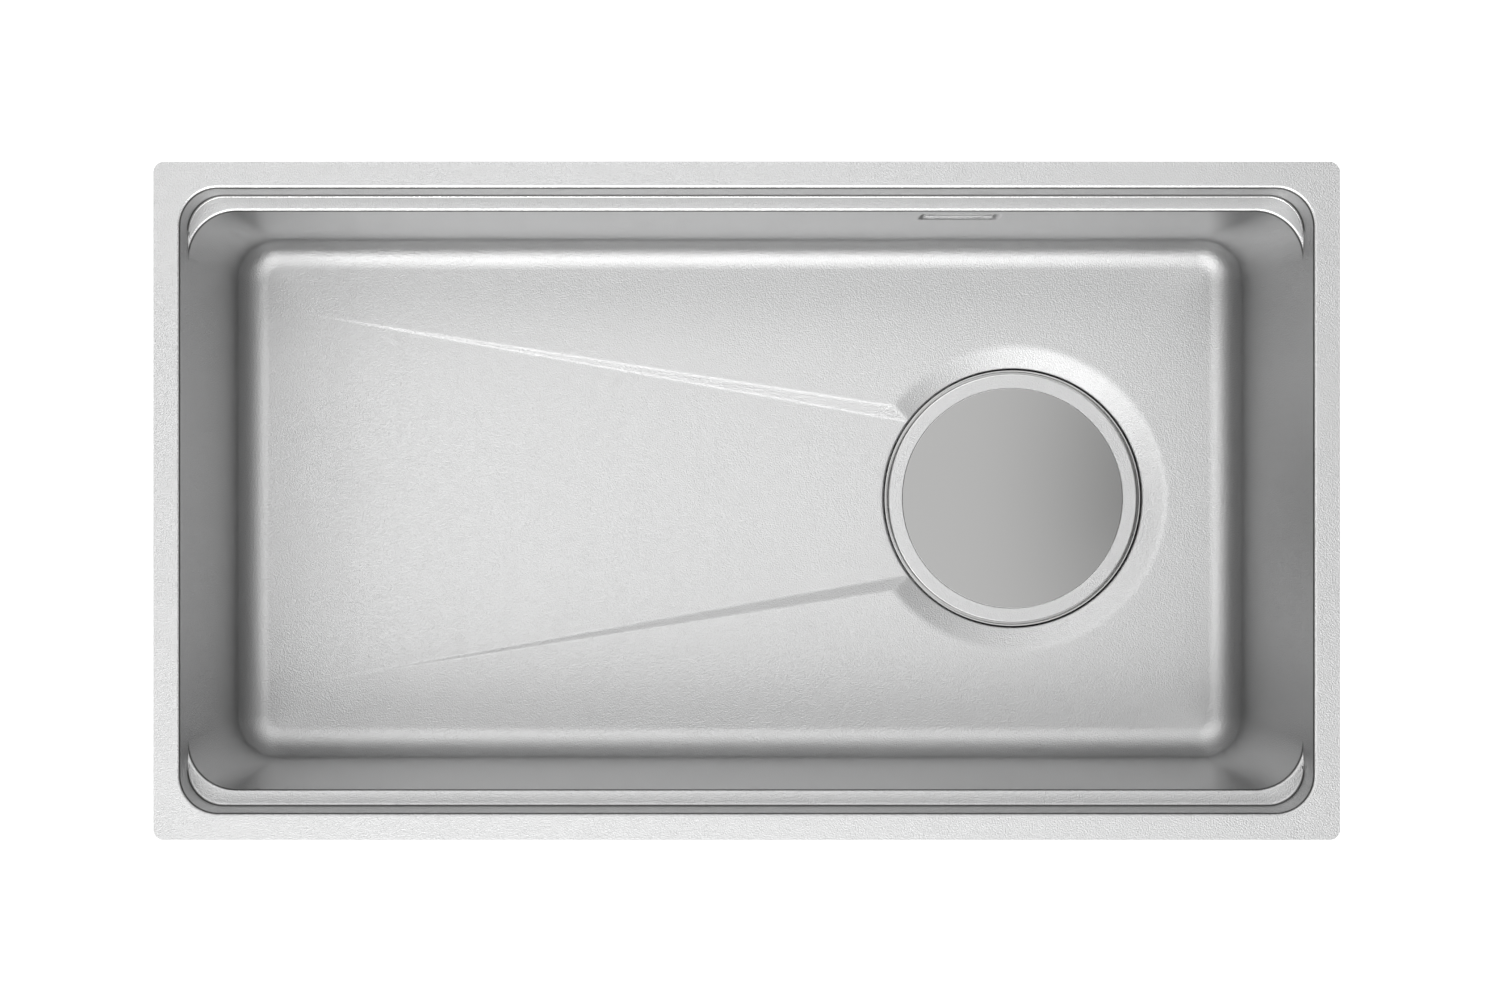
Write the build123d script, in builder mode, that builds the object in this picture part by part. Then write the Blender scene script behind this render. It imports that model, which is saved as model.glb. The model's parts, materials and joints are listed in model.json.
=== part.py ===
"""Undermount kitchen sink with a concealed drain, a lift-out strainer and trap, and a piped overflow.

Units are millimetres. X runs along the bowl, Y runs to the rear, Z is up.
The origin is the centre of the flange's top face, which meets the underside of a worktop.
"""

import os
from math import atan2, cos, hypot, radians, sin, tan

from build123d import *

os.makedirs("parts", exist_ok=True)

# ---- Driving dimensions -------------------------------------------------------------------------

# Pressed sheet
SHEET = 1.2
FLANGE_LENGTH = 840.0
FLANGE_WIDTH = 480.0
FLANGE_CORNER = 7.5
OPENING_LENGTH = 803.0
OPENING_WIDTH = 442.6
OPENING_CORNER = 27.0
STEP_DEPTH = 25.0
STEP_DRAFT_X = 0.2
STEP_DRAFT_Y = 1.9
STEP_CORNER = 26.5
LEDGE_WIDTH = 11.4
BOWL_CORNER = 35.0
BOWL_DEPTH = 205.0
WALL_DRAFT = 1.2
FLOOR_FILLET = 22.0

# Fall of the floor towards the drain
FALL_TIP_INSET_X = 41.7
FALL_TIP_INSET_Y = 37.2
CREASE_ANGLE = 37.6
FACET_ANGLE = 27.6

# Drain seat pressed into the floor
DRAIN_X = 220.0
SEAT_RADIUS = 104.0
CONE_WIDTH = 17.5
CONE_DROP = 5.5
SEAT_DEPTH = 12.0
SEAT_WIDTH = 12.0

# Steel drain flange and its clamping
GASKET = 2.0
FLANGE_GAP = 1.2
MOUTH_SHEET = 1.0
RIM_BELOW_SEAT_EDGE = 1.0
MOUTH_RADIUS = 79.0
COLLAR_HEIGHT = 12.0
SCREW_COUNT = 6
SCREW_RADIUS = 2.0
SCREW_HEAD_RADIUS = 4.0
SCREW_LENGTH = 14.0
SCREW_CIRCLE = 86.0
HOLE_CLEARANCE = 0.2
THREAD_BITE = 0.15

# Cover
COVER_GAP = 1.9
COVER_RING_WIDTH = 11.3
COVER_RING_SHEET = 1.5
COVER_SKIRT = 4.0
COVER_SHELF = 4.5
COVER_DISC_SHEET = 1.2
COVER_DISC_BELOW = 0.3
COVER_DISC_GAP = 0.3
COVER_EDGE_FILLET = 0.7
FOOT_RADIUS = 3.5
FOOT_COUNT = 4
FOOT_INSIDE_SKIRT = 1.0

# Basket
BASKET_CLEARANCE = 0.5
BASKET_SHEET = 1.0
BASKET_RIM = 2.5
BASKET_DEPTH = 40.0
BASKET_TAPER = 8.0
BASKET_FILLET = 7.0
BASKET_SLOTS = 20
BASKET_SLOT_WIDTH = 4.0
BASKET_SLOT_HEIGHT = 16.0
BASKET_HOLE_RADIUS = 2.5
BASKET_HOLE_COUNTS = (14, 20, 28, 34)
BASKET_HOLE_CIRCLES = (24.0, 36.0, 48.0, 59.0)
GRIP_STEM_RADIUS = 4.0
GRIP_KNOB_RADIUS = 14.0
GRIP_KNOB_HEIGHT = 6.0
GRIP_FOOT_RADIUS = 12.0
GRIP_FOOT_HEIGHT = 2.0
GRIP_BELOW_COVER = 8.0

# Drain body and trap
BODY_BORE_CLEARANCE = 0.4
BODY_WALL = 3.4
BODY_FLANGE_HEIGHT = 4.3
BODY_BOSS_HEIGHT = 19.0
BODY_HOLE_CLEARANCE = 1.0
BODY_DEPTH = 98.0
BODY_CONE_WIDTH = 22.0
BODY_CONE_HEIGHT = 20.0
BODY_LAP = 10.0
BODY_LAP_WALL = 3.0
SPIGOT_RADIUS = 24.0
SPIGOT_BORE = 20.5
SPIGOT_HEIGHT = 28.0
STANDPIPE_RADIUS = 19.6
STANDPIPE_WALL = 2.6
STANDPIPE_HEIGHT = 38.0
STANDPIPE_INSERT = 12.0
STANDPIPE_FLANGE_RADIUS = 26.0
STANDPIPE_FLANGE = 2.5
STANDPIPE_SEAL = 1.5
BELL_RADIUS = 34.0
BELL_WALL = 2.5
BELL_HEADROOM = 5.5
BELL_SKIRT_GAP = 4.5
BELL_RIBS = 3
BELL_KNOB_RADIUS = 6.0
BELL_KNOB_HEIGHT = 5.0

# Waste outlet
OUTLET_WASHER = 2.0
ELBOW_RADIUS = 20.0
ELBOW_WALL = 2.2
ELBOW_COLLAR = 3.0
ELBOW_DROP = 12.0
ELBOW_BEND = 32.0
ELBOW_REACH = 45.0
NUT_WALL = 5.5
NUT_RUNNING_GAP = 0.3
NUT_LIP = 3.0
NUT_GRIP_HEIGHT = 17.0
NUT_RIBS = 12

# Overflow
OVERFLOW_X = 157.6
OVERFLOW_Z = -55.0
RECESS_LENGTH = 60.0
RECESS_HEIGHT = 30.0
RECESS_DEPTH = 4.0
RECESS_CORNER = 6.0
OVERFLOW_HOLE_LENGTH = 32.0
OVERFLOW_HOLE_HEIGHT = 11.0
OVERFLOW_COVER_LENGTH = 50.0
OVERFLOW_COVER_HEIGHT = 16.0
OVERFLOW_COVER_SHEET = 1.2
OVERFLOW_COVER_STANDOFF = 1.2
OVERFLOW_SCREW_PITCH = 42.0
OVERFLOW_SCREW_LENGTH = 12.0
OVERFLOW_GASKET = 1.5
HOUSING_LENGTH = 51.0
HOUSING_TOP = 10.5
HOUSING_HEIGHT = 34.0
HOUSING_DEPTH = 21.6
HOUSING_WALL = 2.5
UNION_SPIGOT_RADIUS = 10.8
UNION_BORE = 8.5
UNION_SPIGOT_LENGTH = 14.0
UNION_WASHER = 1.5
UNION_COLLAR = 2.0
UNION_GAP = 0.2
UNION_NUT_WALL = 2.6
UNION_NUT_FLATS = 8
UNION_NUT_LIP = 2.5
UNION_NUT_GRIP = 10.0
PIPE_RADIUS = 8.3
PIPE_WALL = 1.3
PIPE_BEND = 30.0
PORT_DEPTH = 34.0
PORT_REACH = 22.0

# Sound-deadening pads
PAD = 3.0
PAD_EDGE = 30.0
WALL_PAD_HEIGHT = 100.0
SIDE_PAD_WIDTH = 260.0
LONG_PAD_LENGTH = 420.0
LONG_PAD_SHIFT = -110.0

# ---- Worked-out places --------------------------------------------------------------------------

OVERLAP = 3.0
draft = tan(radians(WALL_DRAFT))
step_half_x = OPENING_LENGTH / 2 - STEP_DRAFT_X
step_half_y = OPENING_WIDTH / 2 - STEP_DRAFT_Y
bowl_half_x = step_half_x
bowl_half_y = step_half_y - LEDGE_WIDTH
wall_run = (BOWL_DEPTH - STEP_DEPTH) * draft
floor_half_x = bowl_half_x - wall_run
floor_half_y = bowl_half_y - wall_run
floor_corner = BOWL_CORNER - wall_run

cone_outer = SEAT_RADIUS + CONE_WIDTH
cone_angle = atan2(CONE_DROP, CONE_WIDTH)
seat_edge_z = -BOWL_DEPTH - CONE_DROP
seat_z = seat_edge_z - SEAT_DEPTH
hole_radius = SEAT_RADIUS - SEAT_WIDTH

tip_x = -(floor_half_x - FLOOR_FILLET) + FALL_TIP_INSET_X
tip_y = floor_half_y - FLOOR_FILLET - FALL_TIP_INSET_Y
crease_end_x = DRAIN_X - cone_outer * cos(radians(CREASE_ANGLE))
crease_end_y = cone_outer * sin(radians(CREASE_ANGLE))
crease_slope = (crease_end_y - tip_y) / (crease_end_x - tip_x)
fall_slope = CONE_DROP / (DRAIN_X - SEAT_RADIUS - tip_x)
facet_run = 1 / tan(radians(FACET_ANGLE))

flange_plate_z = seat_z + GASKET
flange_radius = SEAT_RADIUS - FLANGE_GAP
mouth_top_z = flange_plate_z + MOUTH_SHEET
rim_top_z = seat_edge_z - RIM_BELOW_SEAT_EDGE
collar_radius = MOUTH_RADIUS + MOUTH_SHEET

cover_top_z = seat_edge_z - COVER_DISC_BELOW
cover_radius = flange_radius - MOUTH_SHEET - COVER_GAP
disc_seat_radius = cover_radius - COVER_RING_WIDTH
disc_radius = disc_seat_radius - COVER_DISC_GAP
disc_top_z = cover_top_z - COVER_DISC_BELOW
shelf_top_z = disc_top_z - COVER_DISC_SHEET
foot_circle = cover_radius - MOUTH_SHEET - FOOT_RADIUS - FOOT_INSIDE_SKIRT

basket_radius = MOUTH_RADIUS - BASKET_CLEARANCE
basket_floor_z = mouth_top_z - BASKET_DEPTH
basket_floor_radius = basket_radius - BASKET_TAPER
grip_top_z = cover_top_z - GRIP_BELOW_COVER

body_bore = collar_radius + BODY_BORE_CLEARANCE
body_radius = body_bore + BODY_WALL
boss_radius = hole_radius - BODY_HOLE_CLEARANCE
body_top_z = flange_plate_z - HOLE_CLEARANCE
body_flange_top_z = seat_z - SHEET - GASKET
body_flange_z = body_flange_top_z - BODY_FLANGE_HEIGHT
boss_z = body_top_z - BODY_BOSS_HEIGHT
body_floor_z = body_top_z - BODY_DEPTH
seam_z = body_floor_z + BODY_CONE_HEIGHT
spigot_z = body_floor_z - BODY_WALL - SPIGOT_HEIGHT

standpipe_flange_z = body_floor_z + STANDPIPE_SEAL
standpipe_top_z = body_floor_z + STANDPIPE_HEIGHT
bell_top_z = standpipe_top_z + BELL_HEADROOM + BELL_WALL
bell_skirt_z = standpipe_flange_z + STANDPIPE_FLANGE + BELL_SKIRT_GAP

elbow_top_z = spigot_z - OUTLET_WASHER
elbow_collar_radius = SPIGOT_RADIUS - NUT_RUNNING_GAP
nut_top_z = spigot_z + NUT_GRIP_HEIGHT
nut_lip_top_z = elbow_top_z - ELBOW_COLLAR - NUT_RUNNING_GAP
nut_radius = SPIGOT_RADIUS + NUT_RUNNING_GAP + NUT_WALL
elbow_axis_z = elbow_top_z - ELBOW_DROP - ELBOW_BEND

wall_y = bowl_half_y - (-OVERFLOW_Z - STEP_DEPTH) * draft
recess_y = wall_y + RECESS_DEPTH
gasket_y = recess_y + SHEET
housing_y = gasket_y + OVERFLOW_GASKET
housing_top_z = OVERFLOW_Z + HOUSING_TOP
housing_z = housing_top_z - HOUSING_HEIGHT
pipe_y = housing_y + HOUSING_DEPTH / 2
port_z = body_flange_z - PORT_DEPTH + BODY_FLANGE_HEIGHT
pipe_foot_distance = hypot(OVERFLOW_X - DRAIN_X, pipe_y)
port_direction = ((OVERFLOW_X - DRAIN_X) / pipe_foot_distance, pipe_y / pipe_foot_distance)
port_end = body_radius + PORT_REACH


def above_drain(z):
    """A level plane on the drain's axis."""
    return Plane(origin=(DRAIN_X, 0, z))


def drain_section():
    """The upright plane through the drain's axis, where local X is the radius and local Y is Z."""
    return Plane(origin=(DRAIN_X, 0, 0), x_dir=(1, 0, 0), z_dir=(0, -1, 0))


def save(part, label):
    """Label a finished part and write it."""
    part.label = label
    export_step(part, f"parts/{label}.step")


def ring(plane, outer, inner, height):
    """A flat ring that rises from a plane by height."""
    with BuildPart() as band:
        with BuildSketch(plane):
            Circle(outer)
            Circle(inner, mode=Mode.SUBTRACT)
        extrude(amount=height)
    return band.part


def turned(points):
    """A solid turned round the drain's axis from (radius, z) points."""
    with BuildPart() as solid:
        with BuildSketch(drain_section()):
            with BuildLine():
                Polyline(*points, close=True)
            make_face()
        revolve(axis=Axis((DRAIN_X, 0, 0), (0, 0, 1)))
    return solid.part


# ---- Bowl ---------------------------------------------------------------------------------------


def fall_section(x, skin):
    """Half-widths of the sunken middle of the floor at x: its bottom, and its top inside the cavity."""
    bottom_z = -BOWL_DEPTH - fall_slope * (x - tip_x) - skin
    top_z = -BOWL_DEPTH + OVERLAP
    crease_y = tip_y + crease_slope * (x - tip_x) + skin / sin(radians(FACET_ANGLE))
    bottom_y = crease_y + (bottom_z + BOWL_DEPTH) * facet_run
    top_y = crease_y + OVERLAP * facet_run
    return [(-bottom_y, bottom_z), (bottom_y, bottom_z), (top_y, top_z), (-top_y, top_z)]


def drain_seat_profile(skin):
    """The cone and the sunken seat round the drain, as (radius, z) points."""
    top_z = -BOWL_DEPTH + OVERLAP
    cone_offset = skin / sin(cone_angle)
    top_radius = cone_outer + OVERLAP / tan(cone_angle) + cone_offset
    wall_radius = SEAT_RADIUS + skin
    edge_z = -BOWL_DEPTH + (wall_radius - cone_outer - cone_offset) * tan(cone_angle)
    bottom_z = seat_z - skin
    return [(0, top_z), (top_radius, top_z), (wall_radius, edge_z), (wall_radius, bottom_z), (0, bottom_z)]


def bowl_form(skin):
    """The bowl's hollow grown outwards by skin: 0 gives the sheet's inner face, SHEET its outer one."""
    ledge_z = -STEP_DEPTH - skin
    with BuildPart() as form:
        # The upper step, just under the opening
        with BuildSketch():
            RectangleRounded(OPENING_LENGTH + 2 * skin, OPENING_WIDTH + 2 * skin, OPENING_CORNER + skin)
        with BuildSketch(Plane.XY.offset(ledge_z)):
            RectangleRounded(2 * (step_half_x + skin), 2 * (step_half_y + skin), STEP_CORNER + skin)
        loft(ruled=True)
        # The walls, with the rounded foot that runs into the floor
        with BuildSketch(Plane.XY.offset(ledge_z)):
            RectangleRounded(2 * (bowl_half_x + skin), 2 * (bowl_half_y + skin), BOWL_CORNER + skin)
        with BuildSketch(Plane.XY.offset(-BOWL_DEPTH - skin)):
            RectangleRounded(2 * (floor_half_x + skin), 2 * (floor_half_y + skin), floor_corner + skin)
        loft(ruled=True)
        fillet(form.faces().sort_by(Axis.Z)[0].edges(), FLOOR_FILLET + skin)
        # The sunken middle of the floor, between the two creases
        with BuildSketch(Plane.YZ.offset(tip_x)):
            with BuildLine():
                Polyline(*fall_section(tip_x, skin), close=True)
            make_face()
        with BuildSketch(Plane.YZ.offset(DRAIN_X)):
            with BuildLine():
                Polyline(*fall_section(DRAIN_X, skin), close=True)
            make_face()
        loft(ruled=True)
        # The cone and the seat for the drain flange
        add(turned(drain_seat_profile(skin)))
        # The pressed recess for the overflow
        add(recess_form(skin))
    return form.part


def recess_plane(y):
    """An upright plane that faces the rear, centred on the overflow."""
    return Plane(origin=(OVERFLOW_X, y, OVERFLOW_Z), x_dir=(1, 0, 0), z_dir=(0, 1, 0))


def recess_form(skin):
    """The overflow recess, narrowing by its own depth towards its back."""
    inside = OVERLAP - skin
    mouth_length = RECESS_LENGTH + 2 * OVERLAP
    mouth_height = RECESS_HEIGHT + 2 * OVERLAP
    with BuildPart() as recess:
        with BuildSketch(recess_plane(wall_y - inside)):
            RectangleRounded(mouth_length, mouth_height, RECESS_CORNER + OVERLAP)
        with BuildSketch(recess_plane(recess_y + skin)):
            RectangleRounded(
                RECESS_LENGTH - 2 * RECESS_DEPTH,
                RECESS_HEIGHT - 2 * RECESS_DEPTH,
                RECESS_CORNER - RECESS_DEPTH / 2,
            )
        loft(ruled=True)
    return recess.part


with BuildPart() as bowl:
    with BuildSketch():
        RectangleRounded(FLANGE_LENGTH, FLANGE_WIDTH, FLANGE_CORNER)
    extrude(amount=-SHEET)
    add(bowl_form(SHEET))
    add(bowl_form(0), mode=Mode.SUBTRACT)
    # The drain hole
    with BuildSketch(above_drain(seat_z + OVERLAP)):
        Circle(hole_radius)
    extrude(amount=-2 * OVERLAP, mode=Mode.SUBTRACT)
    # The overflow's water hole and its two screw holes
    with BuildSketch(recess_plane(recess_y - OVERLAP)):
        SlotOverall(OVERFLOW_HOLE_LENGTH, OVERFLOW_HOLE_HEIGHT)
        with GridLocations(OVERFLOW_SCREW_PITCH, 0, 2, 1):
            Circle(SCREW_RADIUS + HOLE_CLEARANCE)
    extrude(amount=3 * OVERLAP, mode=Mode.SUBTRACT)
save(bowl.part, "bowl")

# ---- Sound-deadening pads, stuck to the underside -----------------------------------------------


def pad(centre, size):
    """The layer PAD thick on the sheet's outer face, inside one upright block."""
    with BuildPart() as layer:
        add(bowl_form(SHEET + PAD))
        add(bowl_form(SHEET), mode=Mode.SUBTRACT)
        with Locations(centre):
            Box(*size, mode=Mode.INTERSECT)
    return layer.part


pad_mid_z = -(STEP_DEPTH + BOWL_DEPTH) / 2
pad_reach = 30.0
floor_pad_left = -floor_half_x + FLOOR_FILLET + PAD_EDGE
floor_pad_right = DRAIN_X - cone_outer - PAD_EDGE
floor_pad_half_y = floor_half_y - FLOOR_FILLET - PAD_EDGE

floor_pad_centre = ((floor_pad_left + floor_pad_right) / 2, 0, -BOWL_DEPTH - CONE_DROP)
floor_pad_size = (floor_pad_right - floor_pad_left, 2 * floor_pad_half_y, pad_reach)
save(pad(floor_pad_centre, floor_pad_size), "floor_pad")
side_pad_size = (pad_reach, SIDE_PAD_WIDTH, WALL_PAD_HEIGHT)
save(pad((-bowl_half_x, 0, pad_mid_z), side_pad_size), "left_pad")
save(pad((bowl_half_x, 0, pad_mid_z), side_pad_size), "right_pad")
long_pad_size = (LONG_PAD_LENGTH, pad_reach, WALL_PAD_HEIGHT)
save(pad((LONG_PAD_SHIFT, -bowl_half_y, pad_mid_z), long_pad_size), "front_pad")
save(pad((LONG_PAD_SHIFT, bowl_half_y, pad_mid_z), long_pad_size), "rear_pad")

# ---- Steel drain flange, its seals and screws ---------------------------------------------------

save(ring(above_drain(seat_z), flange_radius, hole_radius + HOLE_CLEARANCE, GASKET), "drain_gasket")
save(
    ring(above_drain(seat_z - SHEET), flange_radius, hole_radius + HOLE_CLEARANCE, -GASKET),
    "body_seal",
)

with BuildPart() as drain_flange:
    add(
        turned(
            [
                (MOUTH_RADIUS, flange_plate_z - COLLAR_HEIGHT),
                (collar_radius, flange_plate_z - COLLAR_HEIGHT),
                (collar_radius, flange_plate_z),
                (flange_radius, flange_plate_z),
                (flange_radius, rim_top_z),
                (flange_radius - MOUTH_SHEET, rim_top_z),
                (flange_radius - MOUTH_SHEET, mouth_top_z),
                (MOUTH_RADIUS, mouth_top_z),
            ]
        )
    )
    with Locations(above_drain(mouth_top_z)):
        with PolarLocations(SCREW_CIRCLE, SCREW_COUNT):
            CounterSinkHole(SCREW_RADIUS + HOLE_CLEARANCE, SCREW_HEAD_RADIUS, depth=2 * MOUTH_SHEET)
save(drain_flange.part, "drain_flange")


def screw(plane, length):
    """A countersunk screw whose flat head lies in the plane and whose shank runs against its normal."""
    head_height = SCREW_HEAD_RADIUS - SCREW_RADIUS
    with BuildPart() as fastener:
        with BuildSketch(plane):
            Circle(SCREW_RADIUS)
        extrude(amount=-length)
        with BuildSketch(plane):
            Circle(SCREW_HEAD_RADIUS - HOLE_CLEARANCE)
        with BuildSketch(plane.offset(-head_height + HOLE_CLEARANCE)):
            Circle(SCREW_RADIUS)
        loft()
    return fastener.part


with BuildPart() as drain_screws:
    for turn in range(SCREW_COUNT):
        angle = radians(360 * turn / SCREW_COUNT)
        spot = (DRAIN_X + SCREW_CIRCLE * cos(angle), SCREW_CIRCLE * sin(angle), mouth_top_z)
        add(screw(Plane(origin=spot), SCREW_LENGTH))
save(drain_screws.part, "drain_screws")

# ---- Cover --------------------------------------------------------------------------------------

with BuildPart() as cover_ring:
    add(
        turned(
            [
                (disc_seat_radius - COVER_SHELF, shelf_top_z),
                (disc_seat_radius, shelf_top_z),
                (disc_seat_radius, cover_top_z),
                (cover_radius, cover_top_z),
                (cover_radius, cover_top_z - COVER_SKIRT),
                (cover_radius - MOUTH_SHEET, cover_top_z - COVER_SKIRT),
                (cover_radius - MOUTH_SHEET, shelf_top_z - COVER_RING_SHEET),
                (disc_seat_radius - COVER_SHELF, shelf_top_z - COVER_RING_SHEET),
            ]
        )
    )
    fillet(cover_ring.faces().sort_by(Axis.Z)[-1].outer_wire().edges(), COVER_EDGE_FILLET)
save(cover_ring.part, "cover_ring")

with BuildPart() as cover_disc:
    with BuildSketch(above_drain(shelf_top_z)):
        Circle(disc_radius)
    extrude(amount=COVER_DISC_SHEET)
save(cover_disc.part, "cover_disc")

with BuildPart() as cover_feet:
    with BuildSketch(above_drain(mouth_top_z)):
        with PolarLocations(foot_circle, FOOT_COUNT, start_angle=45):
            Circle(FOOT_RADIUS)
    extrude(amount=shelf_top_z - COVER_RING_SHEET - mouth_top_z)
save(cover_feet.part, "cover_feet")

# ---- Basket -------------------------------------------------------------------------------------

with BuildPart() as basket:
    add(
        turned(
            [
                (0, basket_floor_z),
                (basket_floor_radius, basket_floor_z),
                (basket_radius, mouth_top_z),
                (MOUTH_RADIUS + BASKET_RIM, mouth_top_z),
                (MOUTH_RADIUS + BASKET_RIM, mouth_top_z + BASKET_SHEET),
                (basket_radius - BASKET_SHEET, mouth_top_z + BASKET_SHEET),
                (basket_floor_radius - BASKET_SHEET, basket_floor_z + BASKET_SHEET),
                (0, basket_floor_z + BASKET_SHEET),
            ]
        )
    )
    floor_edges = basket.edges().filter_by(GeomType.CIRCLE).group_by(Axis.Z)
    fillet(floor_edges[1].sort_by(SortBy.RADIUS)[-1:], BASKET_FILLET)
    fillet(basket.faces().sort_by(Axis.Z)[0].outer_wire().edges(), BASKET_FILLET + BASKET_SHEET)
    # Upright slots round the wall
    slot_z = basket_floor_z + BASKET_DEPTH / 2
    for turn in range(BASKET_SLOTS):
        heading = radians(360 * (turn + 0.5) / BASKET_SLOTS)
        outward = (cos(heading), sin(heading), 0)
        with BuildSketch(Plane(origin=(DRAIN_X, 0, slot_z), x_dir=(0, 0, 1), z_dir=outward)):
            SlotOverall(BASKET_SLOT_HEIGHT, BASKET_SLOT_WIDTH)
        extrude(amount=basket_radius + OVERLAP, mode=Mode.SUBTRACT)
    # Round holes in the floor
    with BuildSketch(above_drain(basket_floor_z - OVERLAP)):
        for hole_circle, hole_count in zip(BASKET_HOLE_CIRCLES, BASKET_HOLE_COUNTS):
            with PolarLocations(hole_circle, hole_count):
                Circle(BASKET_HOLE_RADIUS)
    extrude(amount=2 * OVERLAP, mode=Mode.SUBTRACT)
save(basket.part, "basket")

basket_top_floor_z = basket_floor_z + BASKET_SHEET
save(
    turned(
        [
            (0, basket_top_floor_z),
            (GRIP_FOOT_RADIUS, basket_top_floor_z),
            (GRIP_FOOT_RADIUS, basket_top_floor_z + GRIP_FOOT_HEIGHT),
            (GRIP_STEM_RADIUS, basket_top_floor_z + GRIP_FOOT_HEIGHT),
            (GRIP_STEM_RADIUS, grip_top_z - GRIP_KNOB_HEIGHT),
            (GRIP_KNOB_RADIUS, grip_top_z - GRIP_KNOB_HEIGHT / 2),
            (GRIP_KNOB_RADIUS, grip_top_z),
            (0, grip_top_z),
        ]
    ),
    "basket_grip",
)

# ---- Drain body and trap ------------------------------------------------------------------------

port_axis = Vector(port_direction[0], port_direction[1], 0)


def port_plane(distance):
    """An upright plane across the overflow port's axis, at a distance from the drain's axis."""
    spot = (DRAIN_X + port_direction[0] * distance, port_direction[1] * distance, port_z)
    return Plane(origin=spot, x_dir=(0, 0, 1), z_dir=port_axis)


with BuildPart() as drain_body:
    add(
        turned(
            [
                (body_bore, body_top_z),
                (boss_radius, body_top_z),
                (boss_radius, body_flange_top_z),
                (flange_radius, body_flange_top_z),
                (flange_radius, body_flange_z),
                (boss_radius, body_flange_z),
                (boss_radius, boss_z),
                (body_radius, boss_z - BODY_WALL),
                (body_radius, seam_z),
                (body_bore, seam_z),
            ]
        )
    )
    # The overflow port
    with BuildSketch(port_plane(body_bore + BODY_WALL / 2)):
        Circle(UNION_SPIGOT_RADIUS)
    extrude(amount=port_end - body_bore - BODY_WALL / 2)
    with BuildSketch(port_plane(body_bore - BODY_CONE_WIDTH)):
        Circle(UNION_BORE)
    extrude(amount=port_end - body_bore + 2 * BODY_CONE_WIDTH, mode=Mode.SUBTRACT)
    # The countersunk pilot holes that the flange screws bite into
    with Locations(above_drain(mouth_top_z)):
        with PolarLocations(SCREW_CIRCLE, SCREW_COUNT):
            CounterSinkHole(SCREW_RADIUS - THREAD_BITE, SCREW_HEAD_RADIUS, depth=SCREW_LENGTH)
save(drain_body.part, "drain_body")

# The base closes the body from below; its collar laps the wall, and it ends in the outlet spigot
save(
    turned(
        [
            (body_bore, seam_z),
            (body_radius, seam_z),
            (body_radius, seam_z + BODY_LAP),
            (body_radius + BODY_LAP_WALL, seam_z + BODY_LAP),
            (body_radius + BODY_LAP_WALL, seam_z),
            (body_radius, seam_z - BODY_WALL),
            (body_radius - BODY_CONE_WIDTH, body_floor_z - BODY_WALL),
            (SPIGOT_RADIUS, body_floor_z - BODY_WALL),
            (SPIGOT_RADIUS, spigot_z),
            (SPIGOT_BORE, spigot_z),
            (SPIGOT_BORE, body_floor_z),
            (body_bore - BODY_CONE_WIDTH, body_floor_z),
        ]
    ),
    "drain_base",
)

save(
    ring(above_drain(body_floor_z), STANDPIPE_FLANGE_RADIUS, SPIGOT_BORE, STANDPIPE_SEAL),
    "standpipe_seal",
)
save(
    turned(
        [
            (STANDPIPE_RADIUS - STANDPIPE_WALL, body_floor_z - STANDPIPE_INSERT),
            (STANDPIPE_RADIUS, body_floor_z - STANDPIPE_INSERT),
            (STANDPIPE_RADIUS, standpipe_flange_z),
            (STANDPIPE_FLANGE_RADIUS, standpipe_flange_z),
            (STANDPIPE_FLANGE_RADIUS, standpipe_flange_z + STANDPIPE_FLANGE),
            (STANDPIPE_RADIUS, standpipe_flange_z + STANDPIPE_FLANGE),
            (STANDPIPE_RADIUS, standpipe_top_z),
            (STANDPIPE_RADIUS - STANDPIPE_WALL, standpipe_top_z),
        ]
    ),
    "standpipe",
)

with BuildPart() as trap_bell:
    add(
        turned(
            [
                (0, bell_top_z),
                (BELL_RADIUS, bell_top_z),
                (BELL_RADIUS, bell_skirt_z),
                (BELL_RADIUS - BELL_WALL, bell_skirt_z),
                (BELL_RADIUS - BELL_WALL, bell_top_z - BELL_WALL),
                (0, bell_top_z - BELL_WALL),
            ]
        )
    )
    # Ribs under the roof, which rest on the standpipe's rim
    rib_outer = BELL_RADIUS - BELL_WALL / 2
    rib_inner = STANDPIPE_RADIUS - 2 * STANDPIPE_WALL
    with BuildSketch(above_drain(bell_top_z - BELL_WALL)):
        with PolarLocations((rib_outer + rib_inner) / 2, BELL_RIBS):
            Rectangle(rib_outer - rib_inner, BELL_WALL)
    extrude(amount=-BELL_HEADROOM)
    # The knob that it is lifted by
    with BuildSketch(above_drain(bell_top_z)):
        Circle(BELL_KNOB_RADIUS)
    extrude(amount=BELL_KNOB_HEIGHT)
save(trap_bell.part, "trap_bell")

# ---- Waste outlet -------------------------------------------------------------------------------

save(
    ring(above_drain(spigot_z), elbow_collar_radius, ELBOW_RADIUS - ELBOW_WALL, -OUTLET_WASHER),
    "outlet_washer",
)

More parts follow.
